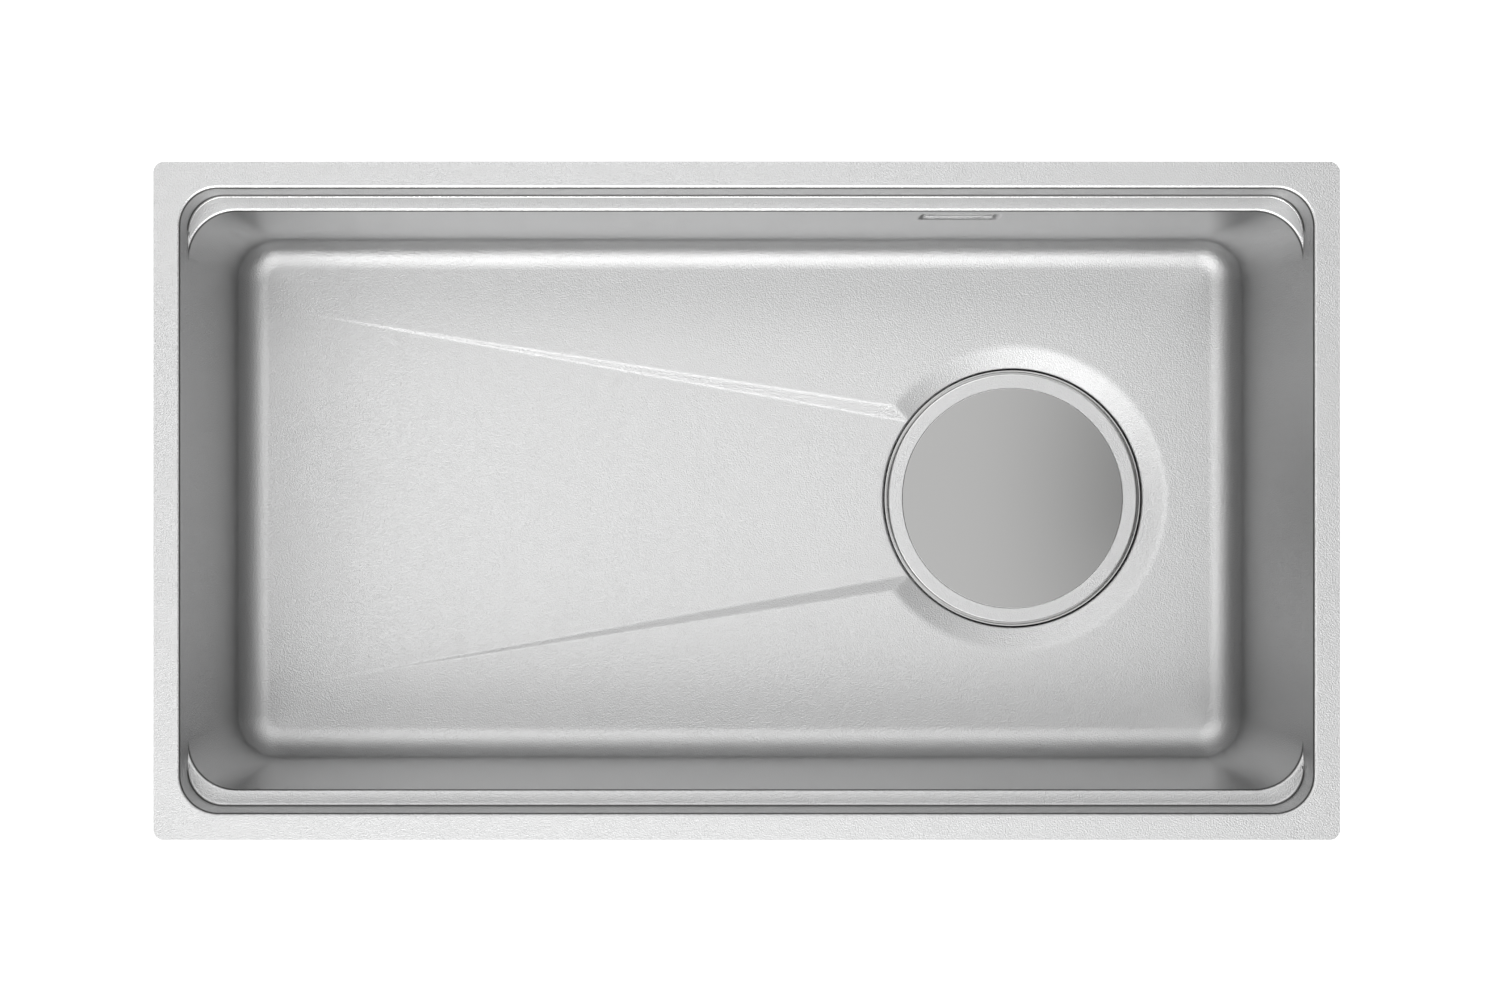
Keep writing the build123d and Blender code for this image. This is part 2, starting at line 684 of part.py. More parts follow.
with BuildPart() as outlet_nut:
    add(
        turned(
            [
                (SPIGOT_RADIUS + NUT_RUNNING_GAP, nut_top_z),
                (nut_radius, nut_top_z),
                (nut_radius, nut_lip_top_z - NUT_LIP),
                (ELBOW_RADIUS + NUT_RUNNING_GAP, nut_lip_top_z - NUT_LIP),
                (ELBOW_RADIUS + NUT_RUNNING_GAP, nut_lip_top_z),
                (SPIGOT_RADIUS + NUT_RUNNING_GAP, nut_lip_top_z),
            ]
        )
    )
    with BuildSketch(above_drain(nut_top_z)):
        with PolarLocations(nut_radius, NUT_RIBS):
            Rectangle(NUT_LIP, NUT_WALL)
    extrude(amount=nut_lip_top_z - NUT_LIP - nut_top_z)
save(outlet_nut.part, "outlet_nut")

with BuildPart() as outlet_elbow:
    with BuildLine() as elbow_path:
        FilletPolyline(
            (DRAIN_X, 0, elbow_top_z),
            (DRAIN_X, 0, elbow_axis_z),
            (DRAIN_X, ELBOW_BEND + ELBOW_REACH, elbow_axis_z),
            radius=ELBOW_BEND,
        )
    with BuildSketch(above_drain(elbow_top_z)):
        Circle(ELBOW_RADIUS)
    sweep(path=elbow_path.wire())
    with BuildSketch(above_drain(elbow_top_z)):
        Circle(elbow_collar_radius)
    extrude(amount=-ELBOW_COLLAR)
    with BuildSketch(above_drain(elbow_top_z)):
        Circle(ELBOW_RADIUS - ELBOW_WALL)
    sweep(path=elbow_path.wire(), mode=Mode.SUBTRACT)
save(outlet_elbow.part, "outlet_elbow")

# ---- Overflow -----------------------------------------------------------------------------------

cover_face_y = recess_y - OVERFLOW_COVER_STANDOFF - OVERFLOW_COVER_SHEET
front_facing = Plane(origin=(OVERFLOW_X, cover_face_y, OVERFLOW_Z), x_dir=(1, 0, 0), z_dir=(0, -1, 0))
back_corner = RECESS_CORNER - RECESS_DEPTH / 2

with BuildPart() as overflow_cover:
    with BuildSketch(recess_plane(cover_face_y)):
        RectangleRounded(OVERFLOW_COVER_LENGTH, OVERFLOW_COVER_HEIGHT, back_corner)
    extrude(amount=OVERFLOW_COVER_SHEET)
    # Spacers that hold the plate off the back of the recess, so that water passes behind it
    with BuildSketch(recess_plane(recess_y)):
        with GridLocations(OVERFLOW_SCREW_PITCH, 0, 2, 1):
            Circle(SCREW_HEAD_RADIUS)
    extrude(amount=-OVERFLOW_COVER_STANDOFF)
    with Locations(front_facing):
        with GridLocations(OVERFLOW_SCREW_PITCH, 0, 2, 1):
            CounterSinkHole(SCREW_RADIUS + HOLE_CLEARANCE, SCREW_HEAD_RADIUS)
save(overflow_cover.part, "overflow_cover")

with BuildPart() as overflow_screws:
    for side in (-1, 1):
        spot = (OVERFLOW_X + side * OVERFLOW_SCREW_PITCH / 2, cover_face_y, OVERFLOW_Z)
        add(screw(Plane(origin=spot, x_dir=(1, 0, 0), z_dir=(0, -1, 0)), OVERFLOW_SCREW_LENGTH))
save(overflow_screws.part, "overflow_screws")

with BuildPart() as overflow_gasket:
    with BuildSketch(recess_plane(gasket_y)):
        RectangleRounded(HOUSING_LENGTH, 2 * HOUSING_TOP, back_corner)
        SlotOverall(OVERFLOW_HOLE_LENGTH, OVERFLOW_HOLE_HEIGHT, mode=Mode.SUBTRACT)
        with GridLocations(OVERFLOW_SCREW_PITCH, 0, 2, 1):
            Circle(SCREW_RADIUS + HOLE_CLEARANCE, mode=Mode.SUBTRACT)
    extrude(amount=OVERFLOW_GASKET)
save(overflow_gasket.part, "overflow_gasket")

housing_mid_z = (housing_top_z + housing_z) / 2
housing_block_plane = Plane(origin=(OVERFLOW_X, housing_y, housing_mid_z), x_dir=(1, 0, 0), z_dir=(0, 1, 0))


def level_at_pipe(z):
    """A level plane on the overflow pipe's upright axis."""
    return Plane(origin=(OVERFLOW_X, pipe_y, z))


with BuildPart() as overflow_housing:
    with BuildSketch(housing_block_plane):
        RectangleRounded(HOUSING_LENGTH, HOUSING_HEIGHT, back_corner)
    extrude(amount=HOUSING_DEPTH)
    with BuildSketch(level_at_pipe(housing_z + HOUSING_WALL)):
        Circle(UNION_SPIGOT_RADIUS)
    extrude(amount=-UNION_SPIGOT_LENGTH - HOUSING_WALL)
    # The chamber, between two thick ends that take the screws
    chamber_length = OVERFLOW_SCREW_PITCH - 2 * SCREW_RADIUS - 2 * HOUSING_WALL
    with BuildSketch(housing_block_plane.offset(HOUSING_WALL)):
        RectangleRounded(chamber_length, HOUSING_HEIGHT - 2 * HOUSING_WALL, back_corner)
    extrude(amount=HOUSING_DEPTH - 2 * HOUSING_WALL, mode=Mode.SUBTRACT)
    with BuildSketch(recess_plane(housing_y)):
        SlotOverall(OVERFLOW_HOLE_LENGTH, OVERFLOW_HOLE_HEIGHT)
    extrude(amount=HOUSING_DEPTH / 2, mode=Mode.SUBTRACT)
    with BuildSketch(level_at_pipe(housing_mid_z)):
        Circle(UNION_BORE)
    extrude(amount=-HOUSING_HEIGHT, mode=Mode.SUBTRACT)
    with Locations(Plane(origin=(OVERFLOW_X, housing_y, OVERFLOW_Z), x_dir=(1, 0, 0), z_dir=(0, -1, 0))):
        with GridLocations(OVERFLOW_SCREW_PITCH, 0, 2, 1):
            Hole(SCREW_RADIUS - THREAD_BITE, depth=OVERFLOW_SCREW_LENGTH)
save(overflow_housing.part, "overflow_housing")

union_top = level_at_pipe(housing_z - UNION_SPIGOT_LENGTH)
union_foot = port_plane(port_end)
pipe_top_z = union_top.origin.Z - UNION_WASHER
pipe_end_distance = port_end + UNION_WASHER
pipe_end = (
    DRAIN_X + port_direction[0] * pipe_end_distance,
    port_direction[1] * pipe_end_distance,
    port_z,
)


def union_washer(plane):
    """The flat seal on a spigot's end; the plane's normal points away from the spigot."""
    return ring(plane, UNION_SPIGOT_RADIUS - UNION_GAP, UNION_BORE, UNION_WASHER)


def union_nut(plane):
    """A nut over a spigot's end and the pipe's collar; the plane's normal points away from the spigot."""
    outer = UNION_SPIGOT_RADIUS + UNION_GAP + UNION_NUT_WALL
    lip_start = UNION_WASHER + UNION_COLLAR + UNION_GAP
    with BuildPart() as nut:
        with BuildSketch(plane.offset(-UNION_NUT_GRIP)):
            RegularPolygon(outer, UNION_NUT_FLATS, major_radius=False, rotation=180 / UNION_NUT_FLATS)
        extrude(amount=UNION_NUT_GRIP + lip_start + UNION_NUT_LIP)
        with BuildSketch(plane.offset(-UNION_NUT_GRIP)):
            Circle(UNION_SPIGOT_RADIUS + UNION_GAP)
        extrude(amount=UNION_NUT_GRIP + lip_start, mode=Mode.SUBTRACT)
        with BuildSketch(plane):
            Circle(PIPE_RADIUS + UNION_GAP)
        extrude(amount=2 * UNION_NUT_GRIP, mode=Mode.SUBTRACT)
    return nut.part


away_from_housing = Plane(origin=union_top.origin, x_dir=(1, 0, 0), z_dir=(0, 0, -1))
save(union_washer(away_from_housing), "upper_union_washer")
save(union_nut(away_from_housing), "upper_union_nut")
save(union_washer(union_foot), "lower_union_washer")
save(union_nut(union_foot), "lower_union_nut")

with BuildPart() as overflow_pipe:
    with BuildLine() as pipe_path:
        FilletPolyline(
            (OVERFLOW_X, pipe_y, pipe_top_z),
            (OVERFLOW_X, pipe_y, port_z),
            pipe_end,
            radius=PIPE_BEND,
        )
    with BuildSketch(level_at_pipe(pipe_top_z)):
        Circle(PIPE_RADIUS)
    sweep(path=pipe_path.wire())
    # The collars that the union nuts draw up to their washers
    with BuildSketch(level_at_pipe(pipe_top_z)):
        Circle(UNION_SPIGOT_RADIUS - UNION_GAP)
    extrude(amount=-UNION_COLLAR)
    with BuildSketch(port_plane(pipe_end_distance)):
        Circle(UNION_SPIGOT_RADIUS - UNION_GAP)
    extrude(amount=UNION_COLLAR)
    with BuildSketch(level_at_pipe(pipe_top_z)):
        Circle(PIPE_RADIUS - PIPE_WALL)
    sweep(path=pipe_path.wire(), mode=Mode.SUBTRACT)
save(overflow_pipe.part, "overflow_pipe")
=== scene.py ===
# %% [markdown]
# # An undermount kitchen sink
# The sink is one sheet of blasted stainless steel, pressed into a bowl, with a round drain cover that lies almost
# flush with the floor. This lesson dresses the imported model: it makes the sheet, the turned parts and the screws
# again as smooth surfaces, and softens the edges of all other pieces. All lengths are metres, and MM turns millimetres
# into them. X runs along the bowl, Y runs to its rear, Z is up, and the flange's top face lies at Z = 0.

import bmesh
import bpy
import numpy as np
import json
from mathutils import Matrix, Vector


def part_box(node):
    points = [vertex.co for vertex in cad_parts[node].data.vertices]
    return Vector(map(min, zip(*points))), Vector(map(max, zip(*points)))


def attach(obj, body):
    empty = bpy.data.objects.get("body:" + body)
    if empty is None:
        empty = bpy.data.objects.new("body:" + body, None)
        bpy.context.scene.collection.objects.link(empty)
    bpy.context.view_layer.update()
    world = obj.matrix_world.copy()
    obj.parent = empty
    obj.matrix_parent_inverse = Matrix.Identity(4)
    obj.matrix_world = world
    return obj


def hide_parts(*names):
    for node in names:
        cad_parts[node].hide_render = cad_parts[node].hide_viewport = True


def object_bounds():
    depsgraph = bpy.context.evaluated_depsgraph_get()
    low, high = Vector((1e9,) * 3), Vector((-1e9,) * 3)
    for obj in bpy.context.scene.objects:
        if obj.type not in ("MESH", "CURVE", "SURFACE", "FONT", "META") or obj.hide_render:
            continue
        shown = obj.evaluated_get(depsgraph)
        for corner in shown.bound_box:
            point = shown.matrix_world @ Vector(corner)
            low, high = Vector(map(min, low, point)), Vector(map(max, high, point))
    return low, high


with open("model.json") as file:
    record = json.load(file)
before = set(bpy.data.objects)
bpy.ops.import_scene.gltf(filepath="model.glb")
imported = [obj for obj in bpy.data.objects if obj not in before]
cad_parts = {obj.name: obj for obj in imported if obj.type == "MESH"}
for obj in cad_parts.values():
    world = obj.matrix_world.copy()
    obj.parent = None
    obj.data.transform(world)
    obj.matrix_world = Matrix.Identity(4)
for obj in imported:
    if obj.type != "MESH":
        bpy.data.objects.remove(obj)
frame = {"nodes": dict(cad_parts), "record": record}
cad_low, cad_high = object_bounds()
MM = 0.001
print("CAD box, low and high corner:", list(cad_low), list(cad_high))

# %% [markdown]
# ## The sheet's driving sizes
# The outer size comes from the frame. The rest are the sizes of the press tool: an opening with a shallow step
# under it, a ledge along the two long sides, four drafted walls, and a large fillet into the floor.

# %% Sizes of the pressed sheet
flange_half = np.array(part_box("bowl")[1])[:2]
drain_x = (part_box("cover_disc")[0].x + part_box("cover_disc")[1].x) / 2

SHEET = 1.2 * MM
FLANGE_CORNER = 7.5 * MM
OPENING_HALF = np.array([401.5, 221.3]) * MM
OPENING_CORNER = 27.0 * MM
STEP_DEPTH = 25.0 * MM
STEP_DRAFT_X = 0.2 * MM
STEP_DRAFT_Y = 1.9 * MM
STEP_CORNER = 26.5 * MM
LEDGE_WIDTH = 11.4 * MM
BOWL_CORNER = 35.0 * MM
BOWL_DEPTH = 205.0 * MM
WALL_DRAFT = np.radians(1.2)
FLOOR_FILLET = 22.0 * MM
EDGE_RADIUS = 1.9 * MM
FOOT_RADIUS = 2.0 * MM

ledge_inset = STEP_DRAFT_Y + LEDGE_WIDTH
fillet_z = -BOWL_DEPTH + FLOOR_FILLET
fillet_inset = ledge_inset + (-fillet_z - STEP_DEPTH) * np.tan(WALL_DRAFT) + FLOOR_FILLET / np.cos(WALL_DRAFT)
floor_half = OPENING_HALF - np.array([fillet_inset - ledge_inset + STEP_DRAFT_X, fillet_inset])
floor_corner = BOWL_CORNER - fillet_inset + ledge_inset
print("flat floor, half sizes in mm:", floor_half / MM, "corner:", floor_corner / MM)

# %% [markdown]
# ## Small tools for surfaces
# Every surface here is a grid of rows and columns, and four neighbours make a face. A closed grid's last column joins
# its first. `piece_from` puts points and faces into a mesh, merges doubled points, and turns all faces to one side.
# It can also give each point the value of burnish and painted light that the steel reads: above 0 the point is
# burnished and gets a painted highlight, below 0 it gets painted shade.

# %% Grids and pieces
MERGE = 0.002 * MM
LEAST_EDGE = 0.001 * MM


def grid_faces(rows, columns, closed):
    """Corner numbers of each quad: point (row, column) has the number row * columns + column."""
    row, column = np.meshgrid(np.arange(rows - 1), np.arange(columns if closed else columns - 1), indexing="ij")
    after = (column + 1) % columns
    this, following = row * columns, (row + 1) * columns
    return np.stack([this + column, this + after, following + after, following + column], axis=-1).reshape(-1, 4)


def smooth_piece(name, mesh, shape):
    """An object in the scene from a mesh that takes its final shape from the bmesh, with every face smooth."""
    shape.to_mesh(mesh)
    shape.free()
    mesh.polygons.foreach_set("use_smooth", np.ones(len(mesh.polygons), bool))
    piece = bpy.data.objects.new(name, mesh)
    bpy.context.scene.collection.objects.link(piece)
    return piece


def piece_from(name, parts, up_at=None, burnish_and_painted_light=None):
    """A mesh object from (points, faces) pairs, with doubles merged and all faces turned to one side.

    The face nearest to the point up_at must look up: if it looks down, every face is turned round.
    burnish_and_painted_light holds a value for each point of the first pair, burnish with painted highlight above 0
    and painted shade below 0; all other points have 0.
    """
    points, faces, start = [], [], 0
    for part_points, part_faces in parts:
        flat = np.asarray(part_points, float).reshape(-1, 3)
        points.append(flat)
        faces.extend((np.asarray(part_faces) + start).tolist())
        start += len(flat)
    mesh = bpy.data.meshes.new(name)
    mesh.from_pydata(np.concatenate(points).tolist(), [], faces)
    if burnish_and_painted_light is not None:
        share = np.zeros(start)
        share[:burnish_and_painted_light.size] = burnish_and_painted_light.ravel()
        mesh.attributes.new("burnish_and_painted_light", "FLOAT", "POINT").data.foreach_set("value", share)
    shape = bmesh.new()
    shape.from_mesh(mesh)
    bmesh.ops.remove_doubles(shape, verts=shape.verts, dist=MERGE)
    bmesh.ops.dissolve_degenerate(shape, edges=shape.edges, dist=LEAST_EDGE)
    bmesh.ops.recalc_face_normals(shape, faces=shape.faces)
    if up_at is not None:
        nearest = min(shape.faces, key=lambda face: (face.calc_center_median() - up_at).length)
        if nearest.normal.z < 0:
            bmesh.ops.reverse_faces(shape, faces=shape.faces)
    return smooth_piece(name, mesh, shape)


# %% [markdown]
# ## The walls as a profile carried round an outline
# The opening, the step, the walls and the fillet are rounded rectangles, one under another, so one template of the
# outline is enough: each step says which side or corner it is on, and any half size and corner radius give its place.
# The rear has more steps where the overflow's recess is, and each corner has a few small turns where the ledge runs
# out.

# %% Outline template
OVERFLOW_X = 157.6 * MM
OVERFLOW_Z = -55.0 * MM
RECESS_HALF = np.array([30.0, 15.0]) * MM
RECESS_CORNER = 6.0 * MM
RECESS_DEPTH = 4.0 * MM
PATCH_MARGIN = 3.5 * MM
PATCH_STEP = 1.25 * MM
SIDE_STEP = 30.0 * MM
CORNER_STEPS = 24
TAPER_ANGLES = np.radians([0.0, 0.4, 1.0, 1.8, 2.7])

wall_run_half = OPENING_HALF[0] - STEP_DRAFT_X - BOWL_CORNER


def side_steps(half, low=None, high=None):
    """Shares from -1 to 1 along a side: even steps, with close ones between low and high."""
    shares = np.linspace(-1, 1, int(2 * half / SIDE_STEP) + 1)
    if low is not None:
        close = np.arange(low, high, PATCH_STEP) / half
        away = np.minimum(np.abs(shares - close[0]), np.abs(shares - close[-1])) > PATCH_STEP / half
        shares = np.sort(np.concatenate([shares[away & ((shares < close[0]) | (shares > close[-1]))], close]))
    return shares


def in_rows(*values):
    """Rows of points from their separate values, each one number or an array."""
    return np.stack(np.broadcast_arrays(*values), axis=-1)


def outline_template():
    """One turn from the middle of the right side: rows of (side share x, y, corner direction x, y)."""
    patch = RECESS_HALF[0] + PATCH_MARGIN
    rear = side_steps(wall_run_half, OVERFLOW_X - patch, OVERFLOW_X + patch)[1:-1]
    front = side_steps(wall_run_half)[1:-1]
    upright = side_steps(OPENING_HALF[1] - BOWL_CORNER)[1:-1]
    turn = np.concatenate([TAPER_ANGLES, np.linspace(0, np.pi / 2, CORNER_STEPS + 1)[1:]])
    turn_back = np.pi / 2 - turn[::-1]
    parts = [
        in_rows(1.0, upright[len(upright) // 2 + 1:], 1.0, 0.0),
        in_rows(1.0, 1.0, np.cos(turn), np.sin(turn)),
        in_rows(rear[::-1], 1.0, 0.0, 1.0),
        in_rows(-1.0, 1.0, -np.sin(turn_back), np.cos(turn_back)),
        in_rows(-1.0, upright[::-1], -1.0, 0.0),
        in_rows(-1.0, -1.0, -np.cos(turn), -np.sin(turn)),
        in_rows(front, -1.0, 0.0, -1.0),
        in_rows(1.0, -1.0, np.sin(turn_back), -np.cos(turn_back)),
        in_rows(1.0, upright[:len(upright) // 2], 1.0, 0.0),
    ]
    middle = [[1.0, 0.0, 1.0, 0.0]]
    return np.concatenate([middle] + parts)


template = outline_template()
print("steps round the outline:", len(template))


def outline(half_x, half_y, corner):
    """X and Y of the outline with these half sizes and this corner radius, each one value for a row or a point."""
    x = (half_x - corner) * template[:, 0] + corner * template[:, 2]
    y = (half_y - corner) * template[:, 1] + corner * template[:, 3]
    return x, y


# %% [markdown]
# The profile is what a cut through the rear wall shows: the flange, a rounded edge, the step, a rounded foot, the
# ledge, a rounded lip, the drafted wall and the big fillet. The short sides have no ledge: it narrows through each
# corner, and where it is narrower than its two roundings, each turns by less than a right angle and they join in
# an S. At a turn of nothing the step runs straight on into the wall.

# %% Rows of the profile
SUPPORT = 0.9 * MM
TURN_STEPS = 8
SPREAD_TOP = -20.0 * MM
SPREAD_END = -28.0 * MM
FULL_TURN = np.radians(60)
LEDGE_SHARES = [0.12, 0.5, 0.88]
LEAST_WIDTH = 0.01 * MM


def arc(centre, radius, start, end, steps):
    """Points on an arc in (inset, z); the angle runs from the inset axis towards +Z."""
    angle = np.linspace(start, end, steps + 1)
    return np.stack([centre[0] + radius * np.cos(angle), centre[1] + radius * np.sin(angle)], axis=1)


def smoothstep(value):
    """0 below 0, 1 above 1, and a smooth S between them."""
    value = np.clip(value, 0, 1)
    return value * value * (3 - 2 * value)


def ledge_rows():
    """Inset and Z of the foot, the ledge and the lip, one column of each for every step of the outline.

    The ledge's width w is the gap between the step's and the bowl's outline, measured square to the wall. Both
    roundings turn by the angle a whose cosine is 1 - w / (sum of the radii), or by a right angle where w is larger.
    Where the turn is small the rows are spread down the wall, and the inset is read off the S at their new height.
    """
    shift_x = BOWL_CORNER - STEP_CORNER
    shift_y = LEDGE_WIDTH + shift_x
    width = np.maximum(shift_x * np.abs(template[:, 2]) + shift_y * np.abs(template[:, 3]) - shift_x, 0)
    radii = FOOT_RADIUS + EDGE_RADIUS
    turn = np.arccos(np.clip(1 - width / radii, 0, 1))
    part = np.linspace(0, 1, TURN_STEPS + 1)[:, None]
    foot_z = FOOT_RADIUS * (np.sin(turn) - np.sin(turn * part)) - STEP_DEPTH
    foot_inset = FOOT_RADIUS * (1 - np.cos(turn * part))
    lip_z = -EDGE_RADIUS * (np.sin(turn) - np.sin(turn * (1 - part))) - STEP_DEPTH
    lip_inset = width - EDGE_RADIUS * (1 - np.cos(turn * (1 - part)))
    flat_inset = foot_inset[-1] + (lip_inset[0] - foot_inset[-1]) * np.array(LEDGE_SHARES)[:, None]
    z = np.concatenate([foot_z, np.full_like(flat_inset, -STEP_DEPTH), lip_z])
    inset = np.concatenate([foot_inset, flat_inset, lip_inset])
    narrow = 1 - smoothstep(turn / FULL_TURN)
    z = z + (np.linspace(SPREAD_TOP, SPREAD_END, len(z))[:, None] - z) * narrow
    below_start = np.clip(foot_z[0] - z, 0, FOOT_RADIUS * np.sin(turn))
    above_end = np.clip(z - lip_z[-1], 0, EDGE_RADIUS * np.sin(turn))
    on_foot = FOOT_RADIUS - np.sqrt(FOOT_RADIUS**2 - below_start**2)
    on_lip = width - EDGE_RADIUS + np.sqrt(EDGE_RADIUS**2 - above_end**2)
    inset = np.where(narrow > 0, np.where(z > -STEP_DEPTH, on_foot, on_lip), inset)
    even = np.linspace(0, 1, len(z))[:, None]
    share = np.where(width > LEAST_WIDTH, inset / np.maximum(width, LEAST_WIDTH), even)
    return share, z, np.sin(turn)


ledge_share, ledge_z, ledge_turn = ledge_rows()
print("rows of the foot, ledge and lip:", len(ledge_z))

# %% [markdown]
# Above the ledge the outline follows the step, below it the bowl, and on it the points move from one to the other by
# their share of the ledge's width. Each rounding carries its wear and painted light: the press tool burnishes the
# flatter part smoother, and a brighter tint there is a painted highlight, most of all at the rear, where the light
# falls; the steep part gets a dark tint, which is painted shade.

# %% Outlines and wear
# The burnish with its painted highlight: its share at the sides and where it ends on a rounding; then where the
# painted shade starts on a rounding and how far it takes to rise
SIDE_WEAR_AND_HIGHLIGHT = 0.3
WEAR_AND_HIGHLIGHT_END = 0.45
SHADE_START = 0.4
SHADE_RISE = 0.2


def step_outline(z):
    """X and Y of the step at these heights: its outline goes from the opening's to the foot's as it goes down."""
    down = np.clip(-z / STEP_DEPTH, 0, 1)
    corner = OPENING_CORNER + (STEP_CORNER - OPENING_CORNER) * down
    return outline(OPENING_HALF[0] - STEP_DRAFT_X * down, OPENING_HALF[1] - STEP_DRAFT_Y * down, corner)


def bowl_outline(inset):
    """X and Y of the bowl, this far inside the line where its walls would meet the ledge."""
    return outline(OPENING_HALF[0] - STEP_DRAFT_X - inset, OPENING_HALF[1] - ledge_inset - inset, BOWL_CORNER - inset)


def rounding_wear_and_painted_light():
    """How far each row of a rounding is burnished with a painted highlight, or carries painted shade, from its flat
    end to its steep end, in one column for each step.

    It is an arch over the flat part for the burnish and its painted highlight, strongest at the rear, where the light
    falls, and none at the front, less a smooth rise to 1 of painted shade from where the rounding turns steep.
    """
    share = np.linspace(0, 1, TURN_STEPS + 1)[:, None]
    to_rear = template[:, 3]
    strength = np.where(to_rear > 0, SIDE_WEAR_AND_HIGHLIGHT + (1 - SIDE_WEAR_AND_HIGHLIGHT) * to_rear, SIDE_WEAR_AND_HIGHLIGHT * (1 + to_rear))
    arch = np.sin(np.pi * np.clip(share / WEAR_AND_HIGHLIGHT_END, 0, 1))
    return arch * strength - smoothstep((share - SHADE_START) / SHADE_RISE)


# Printed: burnish with painted highlight above 0, painted shade below 0, at the rear
print("wear at the rear, from flat to steep:", rounding_wear_and_painted_light()[:, template[:, 3].argmax()].round(2))

# %% [markdown]
# The wall is all of these rows, one under another. Last, the recess for the overflow is pressed out of the rear wall.

# %% Wall surface
FLANGE_ROWS = np.array([-17.0, -9.0]) * MM
STEP_SHARES = [0.06, 0.35, 0.68, 0.93]
BELOW_LIP = -32.0 * MM
BELOW_PATCH = 6.0 * MM
WALL_ROWS = 8
FILLET_STEPS = 24


def rounded_box_distance(x, y, half, corner):
    """Signed distance from the edge of a rounded rectangle round the origin: negative inside it."""
    over_x = np.abs(x) - half[0] + corner
    over_y = np.abs(y) - half[1] + corner
    outside = np.hypot(np.maximum(over_x, 0), np.maximum(over_y, 0))
    return outside + np.minimum(np.maximum(over_x, over_y), 0) - corner


def wall_surface():
    """Rows of points from the flange's outer edge down to the flat floor, and each point's value: burnish with painted
    highlight above 0, painted shade below 0.
    """
    flange = in_rows(*outline(*flange_half, FLANGE_CORNER), np.zeros((1, 1)))
    edge = arc((-EDGE_RADIUS, -EDGE_RADIUS), EDGE_RADIUS, np.pi / 2, 0, TURN_STEPS)
    before = in_rows(np.append(FLANGE_ROWS, -EDGE_RADIUS - SUPPORT), 0.0)
    edge = np.concatenate([before, edge])[:, :, None]
    draft_x, draft_y = (draft * np.clip(-edge[:, 1] / STEP_DEPTH, 0, 1) for draft in (STEP_DRAFT_X, STEP_DRAFT_Y))
    edge_xy = outline(OPENING_HALF[0] - edge[:, 0] - draft_x, OPENING_HALF[1] - edge[:, 0] - draft_y,
                      OPENING_CORNER - edge[:, 0])
    edge_rows = in_rows(*edge_xy, edge[:, 1])
    step_z = -EDGE_RADIUS + (ledge_z[0] + EDGE_RADIUS) * np.array(STEP_SHARES)[:, None]
    step_rows = in_rows(*step_outline(step_z), step_z)
    outer, inner = step_outline(ledge_z), bowl_outline(0)
    between = [start + (end - start) * ledge_share for start, end in zip(outer, inner)]
    ledge = in_rows(*between, ledge_z)
    fillet = arc((fillet_inset - ledge_inset, fillet_z), FLOOR_FILLET, np.pi + WALL_DRAFT, 1.5 * np.pi, FILLET_STEPS)
    patch = RECESS_HALF[1] + PATCH_MARGIN
    depths = np.concatenate([
        [SPREAD_END - SUPPORT, BELOW_LIP],
        np.arange(OVERFLOW_Z + patch, OVERFLOW_Z - patch, -PATCH_STEP),
        np.linspace(OVERFLOW_Z - patch - BELOW_PATCH, fillet[0][1] + 2 * SUPPORT, WALL_ROWS),
    ])
    lower = np.stack([(-depths - STEP_DEPTH) * np.tan(WALL_DRAFT), depths], axis=1)
    lower = np.concatenate([lower, fillet])[:, :, None]
    lower_rows = in_rows(*bowl_outline(lower[:, 0]), lower[:, 1])
    rear = (template[:, 1] == 1) & (template[:, 2] == 0)
    distance = rounded_box_distance(lower_rows[..., 0] - OVERFLOW_X, lower_rows[..., 2] - OVERFLOW_Z,
                                    RECESS_HALF, RECESS_CORNER)
    lower_rows[..., 1] += np.where(rear, RECESS_DEPTH * smoothstep(-distance / RECESS_DEPTH), 0)
    rows = [flange, edge_rows, step_rows, ledge, lower_rows]
    # Burnish with a painted highlight on the flatter part of each rounding, painted shade on its steep part
    worn_and_painted_light = rounding_wear_and_painted_light()
    burnish_and_painted_light = [np.zeros(row.shape[:2]) for row in rows]
    burnish_and_painted_light[1][len(before):] = worn_and_painted_light
    burnish_and_painted_light[3][:] = np.concatenate([worn_and_painted_light[::-1], np.zeros((len(LEDGE_SHARES), len(template))), worn_and_painted_light]) * ledge_turn
    return np.concatenate(rows), np.concatenate(burnish_and_painted_light)


wall_points, wall_burnish_and_painted_light = wall_surface()
wall_faces = grid_faces(len(wall_points), len(template), True)
print("wall faces:", len(wall_faces))

# %% [markdown]
# The overflow's water hole is cut out of the back of the recess. The cover plate hides it, and water flows in round
# the plate.

# %% Overflow hole
HOLE_HALF = np.array([14.5, 5.0]) * MM

face_middle = wall_points.reshape(-1, 3)[wall_faces].mean(axis=1)
in_hole = np.abs(face_middle[:, 0] - OVERFLOW_X) < HOLE_HALF[0]
in_hole &= np.abs(face_middle[:, 2] - OVERFLOW_Z) < HOLE_HALF[1]
in_hole &= face_middle[:, 1] > OPENING_HALF[1] - ledge_inset - RECESS_DEPTH
wall_faces = wall_faces[~in_hole]
print("faces cut out for the overflow:", in_hole.sum())

# %% [markdown]
# ## The floor as a height
# The floor is flat at its rim. Between two long creases its middle is a second plane, which falls gently towards the
# drain, and each crease is a narrow sloping facet. Round the drain there is a shallow cone. The lowest of these
# heights holds, apart from the facet, which holds where it is above the sunken plane. A rounded minimum gives the soft
# corners of a pressed sheet.

